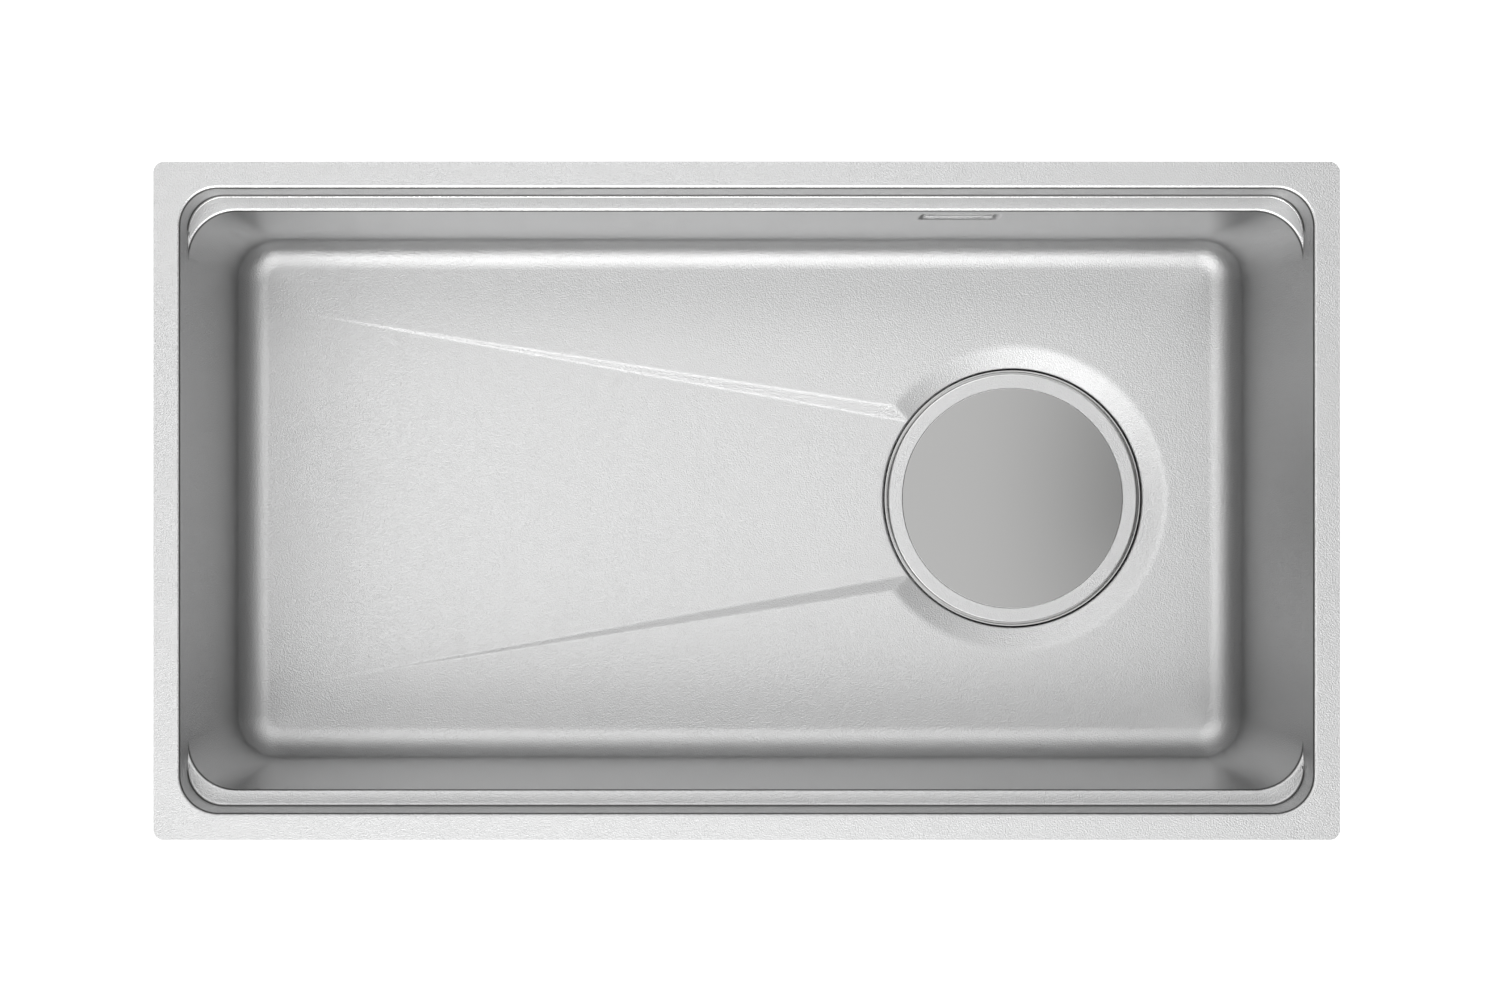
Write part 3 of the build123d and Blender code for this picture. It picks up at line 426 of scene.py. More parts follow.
# %% Floor height
TIP_INSET = np.array([41.7, 37.2]) * MM
CREASE_ANGLE = np.radians(37.6)
FACET_ANGLE = np.radians(27.6)
SEAT_RADIUS = 104.0 * MM
CONE_WIDTH = 17.5 * MM
CONE_DROP = 5.5 * MM
SEAT_DEPTH = 12.0 * MM
HOLE_RADIUS = 92.0 * MM
CREASE_ROUNDING = 0.55 * MM
CONE_ROUNDING = 0.9 * MM

cone_outer = SEAT_RADIUS + CONE_WIDTH
tip = np.array([-floor_half[0], floor_half[1]]) + TIP_INSET * np.array([1, -1])
crease_end = np.array([drain_x - cone_outer * np.cos(CREASE_ANGLE), cone_outer * np.sin(CREASE_ANGLE)])
crease_slope = (crease_end[1] - tip[1]) / (crease_end[0] - tip[0])
fall_slope = CONE_DROP / (drain_x - SEAT_RADIUS - tip[0])
facet_run = 1 / np.tan(FACET_ANGLE)
print("crease starts and ends at, in mm:", tip / MM, crease_end / MM)


def smooth_min(first, second, rounding):
    """The smaller of two heights; where they differ by less than rounding, a parabola joins them."""
    share = np.clip(0.5 + 0.5 * (second - first) / rounding, 0, 1)
    return second + (first - second) * share - rounding * share * (1 - share)


def floor_height(x, y):
    """Height of the floor's upper face at X and Y: the formula of the text above."""
    middle = -BOWL_DEPTH - fall_slope * (x - tip[0])
    crease_y = tip[1] + crease_slope * (x - tip[0])
    facet = -BOWL_DEPTH - (crease_y - np.abs(y)) / facet_run
    sunken = -smooth_min(-middle, -facet, CREASE_ROUNDING)
    sunken = np.where(x > drain_x, 0, sunken)
    cone = -BOWL_DEPTH - (cone_outer - np.hypot(x - drain_x, y)) * CONE_DROP / CONE_WIDTH
    height = smooth_min(np.full_like(x, -BOWL_DEPTH), sunken, CREASE_ROUNDING)
    return smooth_min(height, cone, CONE_ROUNDING)


def on_floor(xy):
    """Rows of (x, y) with the floor's height as their Z."""
    return np.concatenate([xy, floor_height(xy[..., 0], xy[..., 1])[..., None]], axis=-1)


# %% [markdown]
# A crease looks crisp only if the mesh's lines run along it. So the left block of the floor has rows that follow the
# two edges of each facet, close together there and far apart on the flats.

# %% Rows that follow the creases
BLOCK_LEFT = -362.0 * MM
BLOCK_RIGHT = 60.0 * MM
BLOCK_HALF_Y = 170.0 * MM
LEAST_GAP = 1.5 * MM
COLUMN_STEP = 11.0 * MM
CREASE_OFFSETS = np.array([0.0, 0.5, 1.1, 1.9, 3.2])[:, None] * MM
FACET_SHARES = np.linspace(0, 1, 11)[1:-1, None]
MIDDLE_SHARES = np.linspace(0, 1, 9, endpoint=False)
OUTSIDE_SHARES = np.linspace(0, 1, 8)[1:]


def crease_rows(x):
    """Y of the rows above the middle line at each X, one row of the result each, from the middle outwards."""
    outer = tip[1] + crease_slope * (x - tip[0])
    gap = np.maximum(fall_slope * (x - tip[0]) * facet_run, LEAST_GAP)
    inner = outer - gap
    group = np.concatenate([inner - CREASE_OFFSETS[::-1], inner + gap * FACET_SHARES, outer + CREASE_OFFSETS])
    outside = group[-1] + (BLOCK_HALF_Y - group[-1]) * OUTSIDE_SHARES[:, None]
    return np.concatenate([MIDDLE_SHARES[:, None] * group[0], group, outside])


block_x = np.linspace(BLOCK_LEFT, BLOCK_RIGHT, int((BLOCK_RIGHT - BLOCK_LEFT) / COLUMN_STEP) + 1)
upper_rows = crease_rows(block_x)
block_y = np.concatenate([-upper_rows[:0:-1], upper_rows])
block_points = on_floor(in_rows(block_x, block_y))
block_faces = grid_faces(len(block_y), len(block_x), False)
print("left block of the floor:", block_y.shape)

# %% [markdown]
# Round the drain the rows turn into rays, from the edge of a rectangle to a circle. The rays of the crease rows go on
# in their own straight lines, so the creases stay on mesh lines up to the cone.

# %% Rays to the drain
RING_RADIUS = 125.0 * MM
TOP_STEPS = 44
RIGHT_STEPS = 20
TOP_START_ANGLE = np.radians(45)
TOP_END_ANGLE = np.radians(130)
ROW_REACH = 70.0 * MM
BLOCK_FAR = -BLOCK_LEFT


def ray_angles():
    """Angle on the ring at which each of the upper rows ends, from the middle row (half a turn) outwards."""
    ends = np.array([BLOCK_RIGHT, BLOCK_RIGHT + ROW_REACH])
    rows = crease_rows(ends)[len(MIDDLE_SHARES):-len(OUTSIDE_SHARES)]
    start = in_rows(ends[0] - drain_x, rows[:, 0])
    step = in_rows(ROW_REACH, rows[:, 1] - rows[:, 0])
    a, b, c = (step**2).sum(1), (start * step).sum(1), (start**2).sum(1) - RING_RADIUS**2
    hit = start + step * ((-b - np.sqrt(b * b - a * c)) / a)[:, None]
    group = np.arctan2(hit[:, 1], hit[:, 0])
    middle = np.pi + (group[0] - np.pi) * MIDDLE_SHARES
    outside = group[-1] + (TOP_END_ANGLE - group[-1]) * OUTSIDE_SHARES
    return np.concatenate([middle, group, outside])


edge_rows = crease_rows(np.array([BLOCK_RIGHT]))[:, 0]
top_share = np.linspace(0, 1, TOP_STEPS, endpoint=False)
right_share = np.linspace(0, 1, RIGHT_STEPS, endpoint=False)
# X and Y of each ray's start, and its angle on the ring: the right side, the upper side, then the rows
upper_half = np.concatenate([
    in_rows(BLOCK_FAR, BLOCK_HALF_Y * right_share, TOP_START_ANGLE * right_share),
    in_rows(BLOCK_FAR + (BLOCK_RIGHT - BLOCK_FAR) * top_share, BLOCK_HALF_Y,
            TOP_START_ANGLE + (TOP_END_ANGLE - TOP_START_ANGLE) * top_share),
    in_rows(BLOCK_RIGHT, edge_rows, ray_angles())[::-1],
])
lower_half = upper_half[-2:0:-1] * [1, -1, -1] + [0, 0, 2 * np.pi]
rays = np.concatenate([upper_half, lower_half])
ring_edge, ring_angle = rays[:, :2], rays[:, 2]
print("rays round the drain:", len(ring_angle))

# %% [markdown]
# Inside the ring the rays follow the line where the facet meets the cone, which is not quite radial, so their angles
# drift a little. After the cone comes the sunken seat: a rounded rim, an upright wall, a small foot, and the flat that
# the drain's flange is clamped to.

# %% Drain surface
RIM_RADIUS = 1.5 * MM
SEAT_FOOT = 1.0 * MM
RAY_STEPS = 15
DRIFT_FROM = np.radians([0, 142.4, 148.3, 180, 211.7, 217.6, 360])
DRIFT_TO = np.radians([0, 142.9, 144.7, 180, 215.3, 217.1, 360])
CONE_EDGE_RADII = np.array([124.0, 123.2, 122.5, 121.9, 121.3, 120.7, 120.0, 119.2, 118.0]) * MM
CONE_RADII = np.linspace(116.5, 106.6, 9) * MM
SEAT_RADII = np.array([102.2, 98.0, 94.0]) * MM
SEAT_WALL_SHARES = (0.15, 0.5, 0.9)
SLOPE_RUN = 1.0 * MM
RIM_STEPS = 7
SEAT_FOOT_STEPS = 5


def round_drain(radius, angle, *height):
    """Rows of points at a radius and an angle round the drain's axis, with the height as Z if there is one."""
    return in_rows(drain_x + radius * np.cos(angle), radius * np.sin(angle), *height)


def drain_surface():
    """Rays from the rectangle's edge to the hole, one row of points for each distance."""
    inner_angle = np.interp(ring_angle, DRIFT_FROM, DRIFT_TO)
    share = np.linspace(0, 1, RAY_STEPS + 1)[:, None, None]
    band = ring_edge + (round_drain(RING_RADIUS, ring_angle) - ring_edge) * share
    rim_start = SEAT_RADIUS + RIM_RADIUS
    radii = np.concatenate([CONE_EDGE_RADII, CONE_RADII, [rim_start]])[:, None]
    drift = (RING_RADIUS - radii) / (RING_RADIUS - rim_start)
    cone = round_drain(radii, ring_angle + (inner_angle - ring_angle) * drift)
    level = on_floor(np.concatenate([band, cone]))
    # The seat, whose rim starts at the height and the slope of the floor there
    rim_z = level[-1, :, 2]
    near_z = on_floor(round_drain(rim_start + SLOPE_RUN, inner_angle))[:, 2]
    slope = np.arctan((near_z - rim_z) / SLOPE_RUN)
    turn = slope + (np.pi / 2 - slope) * np.linspace(0, 1, RIM_STEPS + 1)[1:, None]
    rim_radius = SEAT_RADIUS + RIM_RADIUS * (1 - (np.sin(turn) - np.sin(slope)) / (1 - np.sin(slope)))
    rim_height = rim_z - RIM_RADIUS * (np.cos(slope) - np.cos(turn))
    seat_z = -BOWL_DEPTH - CONE_DROP - SEAT_DEPTH
    foot = arc((SEAT_RADIUS - SEAT_FOOT, seat_z + SEAT_FOOT), SEAT_FOOT, 0, -np.pi / 2, SEAT_FOOT_STEPS)
    under_rim = rim_z.mean() - RIM_RADIUS
    wall = [(SEAT_RADIUS, under_rim + (foot[0][1] - under_rim) * part) for part in SEAT_WALL_SHARES]
    flat = in_rows(np.append(SEAT_RADII, HOLE_RADIUS), seat_z)
    lower = np.concatenate([wall, foot, flat])[:, None] + np.zeros((len(inner_angle), 2))
    radius, height = np.moveaxis(np.concatenate([in_rows(rim_radius, rim_height), lower]), -1, 0)
    return np.concatenate([level, round_drain(radius, inner_angle, height)])


drain_points = drain_surface()
drain_faces = grid_faces(len(drain_points), len(ring_angle), True)
print("drain surface:", drain_points.shape)

# %% [markdown]
# A strip of triangles joins the floor's grid to the foot of the fillet, because the two have different steps. Each
# edge of either loop makes one triangle, with the point that the other loop has reached by then. Both loops are flat
# there, so the strip doesn't show.

# %% Strip between the loops
def zip_loops(outer, inner):
    """Triangles between two closed loops of (x, y) round the origin, both starting at angle 0.

    Each edge's middle angle gives its turn. An outer edge takes the inner point after as many inner edges
    as have gone by, and the other way round.
    """
    def middles(loop):
        angle = np.unwrap(np.arctan2(loop[:, 1], loop[:, 0]))
        return (angle + np.append(angle[1:], angle[0] + 2 * np.pi)) / 2

    outer_middle, inner_middle = middles(outer), middles(inner)
    m, n = len(outer), len(inner)
    to_inner = np.searchsorted(inner_middle, outer_middle, side="left") % n
    to_outer = np.searchsorted(outer_middle, inner_middle, side="right") % m
    outer_edges = np.stack([np.arange(m), (np.arange(m) + 1) % m, m + to_inner], axis=1)
    inner_edges = np.stack([m + np.arange(n), m + (np.arange(n) + 1) % n, to_outer], axis=1)
    return np.concatenate([outer_edges, inner_edges])


beside_block = RIGHT_STEPS + TOP_STEPS
outer_loop = wall_points[-1]
inner_loop = on_floor(np.concatenate([
    ring_edge[:beside_block],
    block_points[-1, ::-1, :2],
    block_points[-2:0:-1, 0, :2],
    block_points[0, :, :2],
    ring_edge[1 - beside_block:],
]))
strip_points = np.concatenate([outer_loop, inner_loop])
strip_faces = zip_loops(outer_loop[:, :2], inner_loop[:, :2])
print("strip triangles:", len(strip_faces))

# %% [markdown]
# Solidify gives the sheet its real thickness, away from the side that shows, and its material offset gives the
# underside the second material. `stands_for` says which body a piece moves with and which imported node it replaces.

# %% Bowl
CUT_EDGE = 0.25 * MM
FLANGE_MIDDLE = 10.0 * MM


def stands_for(piece, body, node):
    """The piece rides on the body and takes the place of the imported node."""
    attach(piece, body)
    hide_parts(node)


def break_edges(piece, width, angle=60):
    """Round off every edge sharper than the angle by a small width."""
    modifier = piece.modifiers.new("broken edges", "BEVEL")
    modifier.width = width
    modifier.segments = 2
    modifier.limit_method = "ANGLE"
    modifier.angle_limit = np.radians(angle)
    return modifier


bowl_parts = [(wall_points, wall_faces), (block_points, block_faces), (drain_points, drain_faces)]
bowl = piece_from("bowl_sheet", bowl_parts + [(strip_points, strip_faces)],
                  up_at=Vector((0, -flange_half[1] + FLANGE_MIDDLE, 0)), burnish_and_painted_light=wall_burnish_and_painted_light)
thickness = bowl.modifiers.new("thickness", "SOLIDIFY")
thickness.thickness = SHEET
thickness.offset = -1
thickness.material_offset = 1
break_edges(bowl, CUT_EDGE).harden_normals = True
stands_for(bowl, "sink", "bowl")
print("bowl points and faces:", len(bowl.data.vertices), len(bowl.data.polygons))

# %% [markdown]
# ## Steel
# Blasted steel is bright metal with millions of tiny dents, each about as wide as a glass bead leaves, under a
# millimetre. A node group makes their height and a broad, faint mottling. Each steel uses the group with its own
# strength. One helper adds any node and fills its inputs.

# %% Grain group
# Scale, detail and roughness of each output's noise; without a scale, the group's input holds
GRAIN_NOISES = {"Height": (None, 2, 0.6), "Mottling": (14.0, 3, 0.55)}


def add_node(tree, kind, inputs, **settings):
    """The outputs of a new node. Each of its inputs gets a link from a socket or a plain value."""
    node = tree.nodes.new(kind)
    for name, value in settings.items():
        setattr(node, name, value)
    for name, value in inputs.items():
        if isinstance(value, bpy.types.NodeSocket):
            tree.links.new(value, node.inputs[name])
        else:
            node.inputs[name].default_value = value
    return node.outputs


def math_node(tree, operation, first, second):
    """A sum, product or other operation on two sockets or numbers."""
    return add_node(tree, "ShaderNodeMath", {0: first, 1: second}, operation=operation)["Value"]


grain = bpy.data.node_groups.new("blasted grain", "ShaderNodeTree")
grain.interface.new_socket("Vector", in_out="INPUT", socket_type="NodeSocketVector")
grain.interface.new_socket("Scale", in_out="INPUT", socket_type="NodeSocketFloat")
for name in GRAIN_NOISES:
    grain.interface.new_socket(name, in_out="OUTPUT", socket_type="NodeSocketFloat")
given, put_out = add_node(grain, "NodeGroupInput", {}), grain.nodes.new("NodeGroupOutput")
for name, (scale, detail, roughness) in GRAIN_NOISES.items():
    values = {"Vector": given["Vector"], "Scale": scale or given["Scale"], "Detail": detail, "Roughness": roughness}
    grain.links.new(add_node(grain, "ShaderNodeTexNoise", values)["Fac"], put_out.inputs[name])
print("nodes in the grain group:", len(grain.nodes))

# %% [markdown]
# Every finish starts and ends in the same way. The grain is read at Object coordinates, which stay with the piece, and
# its mottling gives a colour and a roughness. At the end a Bump node turns the height into the shader's normal.

# %% Tools for materials
def mapped(tree, value, low, high):
    """A value from 0 to 1 stretched to run from low to high."""
    return add_node(tree, "ShaderNodeMapRange", {"Value": value, "To Min": low, "To Max": high})["Result"]


def mixed_colour(tree, value, first, second):
    """A colour between two, by a value from 0 to 1; the first may be a colour or a socket."""
    first = (*first, 1) if isinstance(first, tuple) else first
    values = {"Factor": value, "A": first, "B": (*second, 1)}
    return add_node(tree, "ShaderNodeMix", values, data_type="RGBA")["Result"]


def new_material(name):
    """A material with its node tree and its Principled shader's inputs."""
    material = bpy.data.materials.new(name)
    material.use_nodes = True
    return material, material.node_tree, material.node_tree.nodes["Principled BSDF"].inputs


def read_grain(tree, scale, tint, mottling, roughness, spread):
    """The grain's height, a colour from the tint times mottling up to the tint, and a roughness within the spread."""
    place = add_node(tree, "ShaderNodeTexCoord", {})["Object"]
    outputs = add_node(tree, "ShaderNodeGroup", {"Vector": place, "Scale": scale}, node_tree=grain)
    colour = mixed_colour(tree, outputs["Mottling"], tuple(part * mottling for part in tint), tint)
    return outputs["Height"], colour, mapped(tree, outputs["Mottling"], roughness - spread, roughness + spread)


def lead_in(tree, inputs, height, depth, colour, roughness):
    """Lead all three into the shader's inputs; the depth of the height is in metres."""
    bump = add_node(tree, "ShaderNodeBump", {"Strength": 1.0, "Distance": depth, "Height": height})["Normal"]
    for name, socket in (("Normal", bump), ("Base Color", colour), ("Roughness", roughness)):
        tree.links.new(socket, inputs[name])


# %% [markdown]
# `metal` makes one steel. The mottling moves the roughness a little, so that the reflections break up as they do on a
# real blasted sheet. The piece's own value of burnish and painted light says how its edges differ: above 0 the steel
# is smoother and has lost its grain, and its brighter tint is a painted highlight; below 0 its dark tint is painted
# shade.

# %% Steels
BURNISHED = 0.18
# Brighter tint of the burnished edges: a painted highlight
BURNISHED_AND_HIGHLIGHT_TINT = (0.78, 0.78, 0.775)
# Dark tint of the steep part of each rounding: painted shade
PAINTED_SHADE_TINT = (0.16, 0.16, 0.158)
GRAIN_LEFT = 0.1
STEEL_MOTTLING = 0.97


def metal(name, tint, roughness, grain_scale, grain_depth, spread=0.03):
    """A blasted or polished steel: tint is its colour, grain_depth the height of the dents in metres."""
    material, tree, inputs = new_material(name)
    height, plain, dull = read_grain(tree, grain_scale, tint, STEEL_MOTTLING, roughness, spread)
    worked_and_painted_light = add_node(tree, "ShaderNodeAttribute", {}, attribute_name="burnish_and_painted_light")["Fac"]
    height = math_node(tree, "MULTIPLY", height, mapped(tree, worked_and_painted_light, 1.0, GRAIN_LEFT))
    # Above 0 the tint goes to the brighter one, a painted highlight; below 0 to the dark one, painted shade
    burnished_and_highlight = mixed_colour(tree, worked_and_painted_light, plain, BURNISHED_AND_HIGHLIGHT_TINT)
    colour = mixed_colour(tree, math_node(tree, "MULTIPLY", worked_and_painted_light, -1.0), burnished_and_highlight, PAINTED_SHADE_TINT)
    smoother = {"Factor": worked_and_painted_light, "A": dull, "B": min(BURNISHED, roughness)}
    lead_in(tree, inputs, height, grain_depth, colour, add_node(tree, "ShaderNodeMix", smoother)["Result"])
    inputs["Metallic"].default_value = 1.0
    return material


blasted = metal("blasted steel", (0.555, 0.556, 0.557), 0.30, 950.0, 0.42 * MM)
underside = metal("pressed steel underside", (0.56, 0.565, 0.57), 0.45, 300.0, 0.02 * MM)
polished = metal("polished steel", (0.378, 0.378, 0.374), 0.09, 200.0, 0.0005 * MM, 0.02)
bowl.data.materials.append(blasted)
bowl.data.materials.append(underside)
print("the bowl's materials:", [material.name for material in bowl.data.materials])

# %% [markdown]
# ## Plastic and rubber
# The hidden parts are moulded plastic and soft seals. A fine texture in the height and a slight change of colour keep
# them from looking like plain paint.

# %% Plastics, seals and pads
PLASTIC_MOTTLING = 0.85
PLASTIC_SPREAD = 0.06


def moulded(name, tint, roughness, grain_scale, grain_depth):
    """A moulded plastic or rubber with a fine surface texture."""
    material, tree, inputs = new_material(name)
    height, colour, rough = read_grain(tree, grain_scale, tint, PLASTIC_MOTTLING, roughness, PLASTIC_SPREAD)
    lead_in(tree, inputs, height, grain_depth, colour, rough)
    return material


grey_plastic = moulded("grey moulded plastic", (0.55, 0.56, 0.56), 0.42, 1200.0, 0.02 * MM)
dark_plastic = moulded("dark moulded plastic", (0.05, 0.052, 0.055), 0.4, 1200.0, 0.02 * MM)
seal_rubber = moulded("seal rubber", (0.04, 0.04, 0.042), 0.65, 1500.0, 0.02 * MM)
damping_pad = moulded("damping pad", (0.09, 0.09, 0.095), 0.75, 400.0, 0.15 * MM)

# %% [markdown]
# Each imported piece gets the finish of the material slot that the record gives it. Copies made from it take it over.

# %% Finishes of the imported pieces
finishes = dict(satin_steel=blasted, polished_steel=polished, seal_rubber=seal_rubber, damping_pad=damping_pad,
                grey_plastic=grey_plastic, dark_plastic=dark_plastic)
body_of = {node: body for body, nodes in frame["record"]["behaviour"]["bodies"].items() for node in nodes}
slot_of = {part["node"]: part["material_slot"] for part in frame["record"]["subparts"]}
for name, node in frame["nodes"].items():
    node.data.materials.clear()
    node.data.materials.append(finishes[slot_of[name]])
print("packed pieces with a finish:", len(slot_of))

# %% [markdown]
# ## Turned pieces
# The cover's ring, its disc and the basket's knob are turned: one outline, carried once round an axis. It is the thin
# highlight on a rounded edge that makes steel look like steel, so each corner of the outline says how far it is
# rounded, and an arc takes its place. On the steel pieces each arc is also burnished, and its brighter tint is a
# painted highlight.

# %% Turned pieces
ARC_STEPS = 6
TURNS = 224
EDGE_SUPPORT = 0.12 * MM


def rounded_profile(corners):
    """Points of a closed outline from corners of (radius, z, rounding), and 1 for each point on an arc.

    An arc touches both sides of its corner at rounding / tan(half the corner's angle) from it, and its centre lies
    on the line that halves the angle, rounding / sin(half the angle) away. Beside each arc the flat gets one more
    point, close to it, so that the arc's shading stays on the arc.
    """
    place, rounding = corners[:, :2], corners[:, 2:]
    before, after = np.roll(place, 1, axis=0) - place, np.roll(place, -1, axis=0) - place
    before /= np.linalg.norm(before, axis=1, keepdims=True)
    after /= np.linalg.norm(after, axis=1, keepdims=True)
    half = np.arccos(np.clip((before * after).sum(1, keepdims=True), -1, 1)) / 2
    bisector = (before + after) / np.linalg.norm(before + after, axis=1, keepdims=True)
    centre = place + bisector * rounding / np.sin(half)
    reach = rounding / np.tan(half)
    first, last = place + before * reach - centre, place + after * reach - centre
    sweep = np.pi - 2 * half
    share = np.linspace(0, 1, ARC_STEPS + 1)[:, None, None]
    arcs = centre + (np.sin((1 - share) * sweep) * first + np.sin(share * sweep) * last) / np.sin(sweep)
    margin = EDGE_SUPPORT * (rounding > 0)
    entry, leave = arcs[0] + before * margin, arcs[-1] + after * margin
    points = np.concatenate([entry[None], arcs, leave[None]]).transpose(1, 0, 2).reshape(-1, 2)
    on_arc = np.concatenate([[0], np.ones(ARC_STEPS + 1), [0]]) * (rounding > 0)
    return points, on_arc.reshape(-1)


def turned(name, node, corners, material, body):
    """A closed piece whose outline is carried once round the drain's axis; it takes the node's place."""
    profile, on_arc = rounded_profile(np.array(corners))
    profile = np.append(profile, profile[:1], axis=0)
    angle = np.linspace(0, 2 * np.pi, TURNS, endpoint=False)
    points = round_drain(profile[:, :1], angle, profile[:, 1:])
    # Every point on an arc is burnished and gets the brighter tint: a painted highlight
    worn_and_painted_light = np.repeat(np.append(on_arc, on_arc[0]), TURNS)
    piece = piece_from(name, [(points, grid_faces(len(points), TURNS, True))], burnish_and_painted_light=worn_and_painted_light)
    piece.data.materials.append(material)
    stands_for(piece, body, node)
    print(name, "points:", len(piece.data.vertices))


# %% [markdown]
# The ring is a shallow steel cap with a step inside it, on which the disc lies. Its outer edge is well rounded, and
# its roundings are burnished, with a brighter tint that is a painted highlight; the fine rounding of its inner edge
# catches the light beside the disc.

# %% Cover
RING_WIDTH = 11.3 * MM
RING_SHEET = 1.5 * MM
RING_SHELF = 4.5 * MM
SKIRT_SHEET = 1.0 * MM
RING_EDGE = 0.9 * MM
FINE_EDGE = 0.25 * MM
DISC_EDGE = 0.15 * MM

ring_low, ring_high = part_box("cover_ring")
disc_low, disc_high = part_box("cover_disc")
ring_radius = (ring_high.x - ring_low.x) / 2
disc_radius = (disc_high.x - disc_low.x) / 2
shelf_radius = ring_radius - RING_WIDTH
ring_corners = [
    (shelf_radius - RING_SHELF, disc_low.z, FINE_EDGE),
    (shelf_radius, disc_low.z, 0),
    (shelf_radius, ring_high.z, FINE_EDGE),
    (ring_radius, ring_high.z, RING_EDGE),
    (ring_radius, ring_low.z, FINE_EDGE),
    (ring_radius - SKIRT_SHEET, ring_low.z, FINE_EDGE),
    (ring_radius - SKIRT_SHEET, disc_low.z - RING_SHEET, FINE_EDGE),
    (shelf_radius - RING_SHELF, disc_low.z - RING_SHEET, FINE_EDGE),
]
disc_corners = [(0, disc_low.z, 0), (disc_radius, disc_low.z, DISC_EDGE), (disc_radius, disc_high.z, DISC_EDGE),
                (0, disc_high.z, 0)]
turned("cover_ring_turned", "cover_ring", ring_corners, blasted, "cover")
turned("cover_disc_turned", "cover_disc", disc_corners, polished, "cover")

# %% [markdown]
# The knob that the basket is lifted by is a waisted plastic post with a flared foot and a domed cap.

# %% Basket knob
GRIP_STEM = 4.0 * MM
GRIP_FOOT = 12.0 * MM
GRIP_FOOT_HEIGHT = 2.0 * MM
GRIP_CAP_HEIGHT = 6.0 * MM
GRIP_FOOT_EDGES = (0.4 * MM, 0.8 * MM)
GRIP_WAIST_BENDS = (5.0 * MM, 4.0 * MM)
GRIP_CAP_EDGES = (1.0 * MM, 1.6 * MM)

grip_low, grip_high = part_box("basket_grip")
grip_radius = (grip_high.x - grip_low.x) / 2
grip_corners = [
    (0, grip_low.z, 0),
    (GRIP_FOOT, grip_low.z, GRIP_FOOT_EDGES[0]),
    (GRIP_FOOT, grip_low.z + GRIP_FOOT_HEIGHT, GRIP_FOOT_EDGES[1]),
    (GRIP_STEM, grip_low.z + GRIP_FOOT_HEIGHT, GRIP_WAIST_BENDS[0]),
    (GRIP_STEM, grip_high.z - GRIP_CAP_HEIGHT, GRIP_WAIST_BENDS[1]),
    (grip_radius, grip_high.z - GRIP_CAP_HEIGHT / 2, GRIP_CAP_EDGES[0]),
    (grip_radius, grip_high.z, GRIP_CAP_EDGES[1]),
    (0, grip_high.z, 0),
]
turned("basket_knob", "basket_grip", grip_corners, dark_plastic, "strainer")

# %% [markdown]
# ## Screws
# The screws of the drain and of the overflow cover are the same kind: a countersunk head with a hexagon socket, and a
# machine thread. One grid makes the whole screw: its columns are angles, and its rows run from the bottom of the
# socket over the head and down the thread to the tip.

# %% Screw grid
SCREW_RADIUS = 2.0 * MM
SCREW_HEAD_RADIUS = 3.9 * MM
SCREW_TURNS = 36
SOCKET_ACROSS = 2.5 * MM
SOCKET_DEPTH = 1.1 * MM
# Share of the socket's width and depth at its drilled point, its floor, its walls' top and its flared mouth
SOCKET_ROWS = [(0, 1.2), (0.97, 1), (1, 0.15), (1.06, 0)]
THREAD_PITCH = 1.0 * MM
THREAD_DEPTH = 0.3 * MM
ROWS_PER_PITCH = 4
HEAD_EDGE = 0.12 * MM
TIP_LENGTH = 0.7 * MM


def screw_points(length):
    """Points of a screw whose head's face lies at Z = 0 and whose shank runs down from it.

    The socket's radius at an angle is half its width over the cosine of the angle from the nearest flat's middle.
    The thread's radius falls from the crest by the depth times |2 f - 1|, where f is the fraction left over from
    height / pitch - angle / full turn, so the ridge climbs one pitch in each turn.
    """
    angle = np.linspace(0, 2 * np.pi, SCREW_TURNS, endpoint=False)
    from_flat = (angle + np.pi / 6) % (np.pi / 3) - np.pi / 6
    socket = SOCKET_ACROSS / 2 / np.cos(from_flat)
    head_height = SCREW_HEAD_RADIUS - SCREW_RADIUS
    rows = [(width * socket, -depth * SOCKET_DEPTH) for width, depth in SOCKET_ROWS]
    rows += [(SCREW_HEAD_RADIUS - HEAD_EDGE, 0), (SCREW_HEAD_RADIUS, -HEAD_EDGE), (SCREW_RADIUS, -head_height)]
    for height in np.arange(head_height + THREAD_PITCH, length - TIP_LENGTH, THREAD_PITCH / ROWS_PER_PITCH):
        fraction = (height / THREAD_PITCH - angle / (2 * np.pi)) % 1
        rows.append((SCREW_RADIUS - THREAD_DEPTH * np.abs(2 * fraction - 1), -height))
    rows += [(SCREW_RADIUS - THREAD_DEPTH - TIP_LENGTH / 2, -length), (0, -length)]
    return np.stack([in_rows(radius * np.cos(angle), radius * np.sin(angle), level) for radius, level in rows])


print("points round a screw:", SCREW_TURNS)

# %% [markdown]
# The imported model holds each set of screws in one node, so each set is one piece.

# %% Screw sets
SCREW_COUNT = 6
SCREW_CIRCLE = 86.0 * MM
COVER_SCREW_PITCH = 42.0 * MM


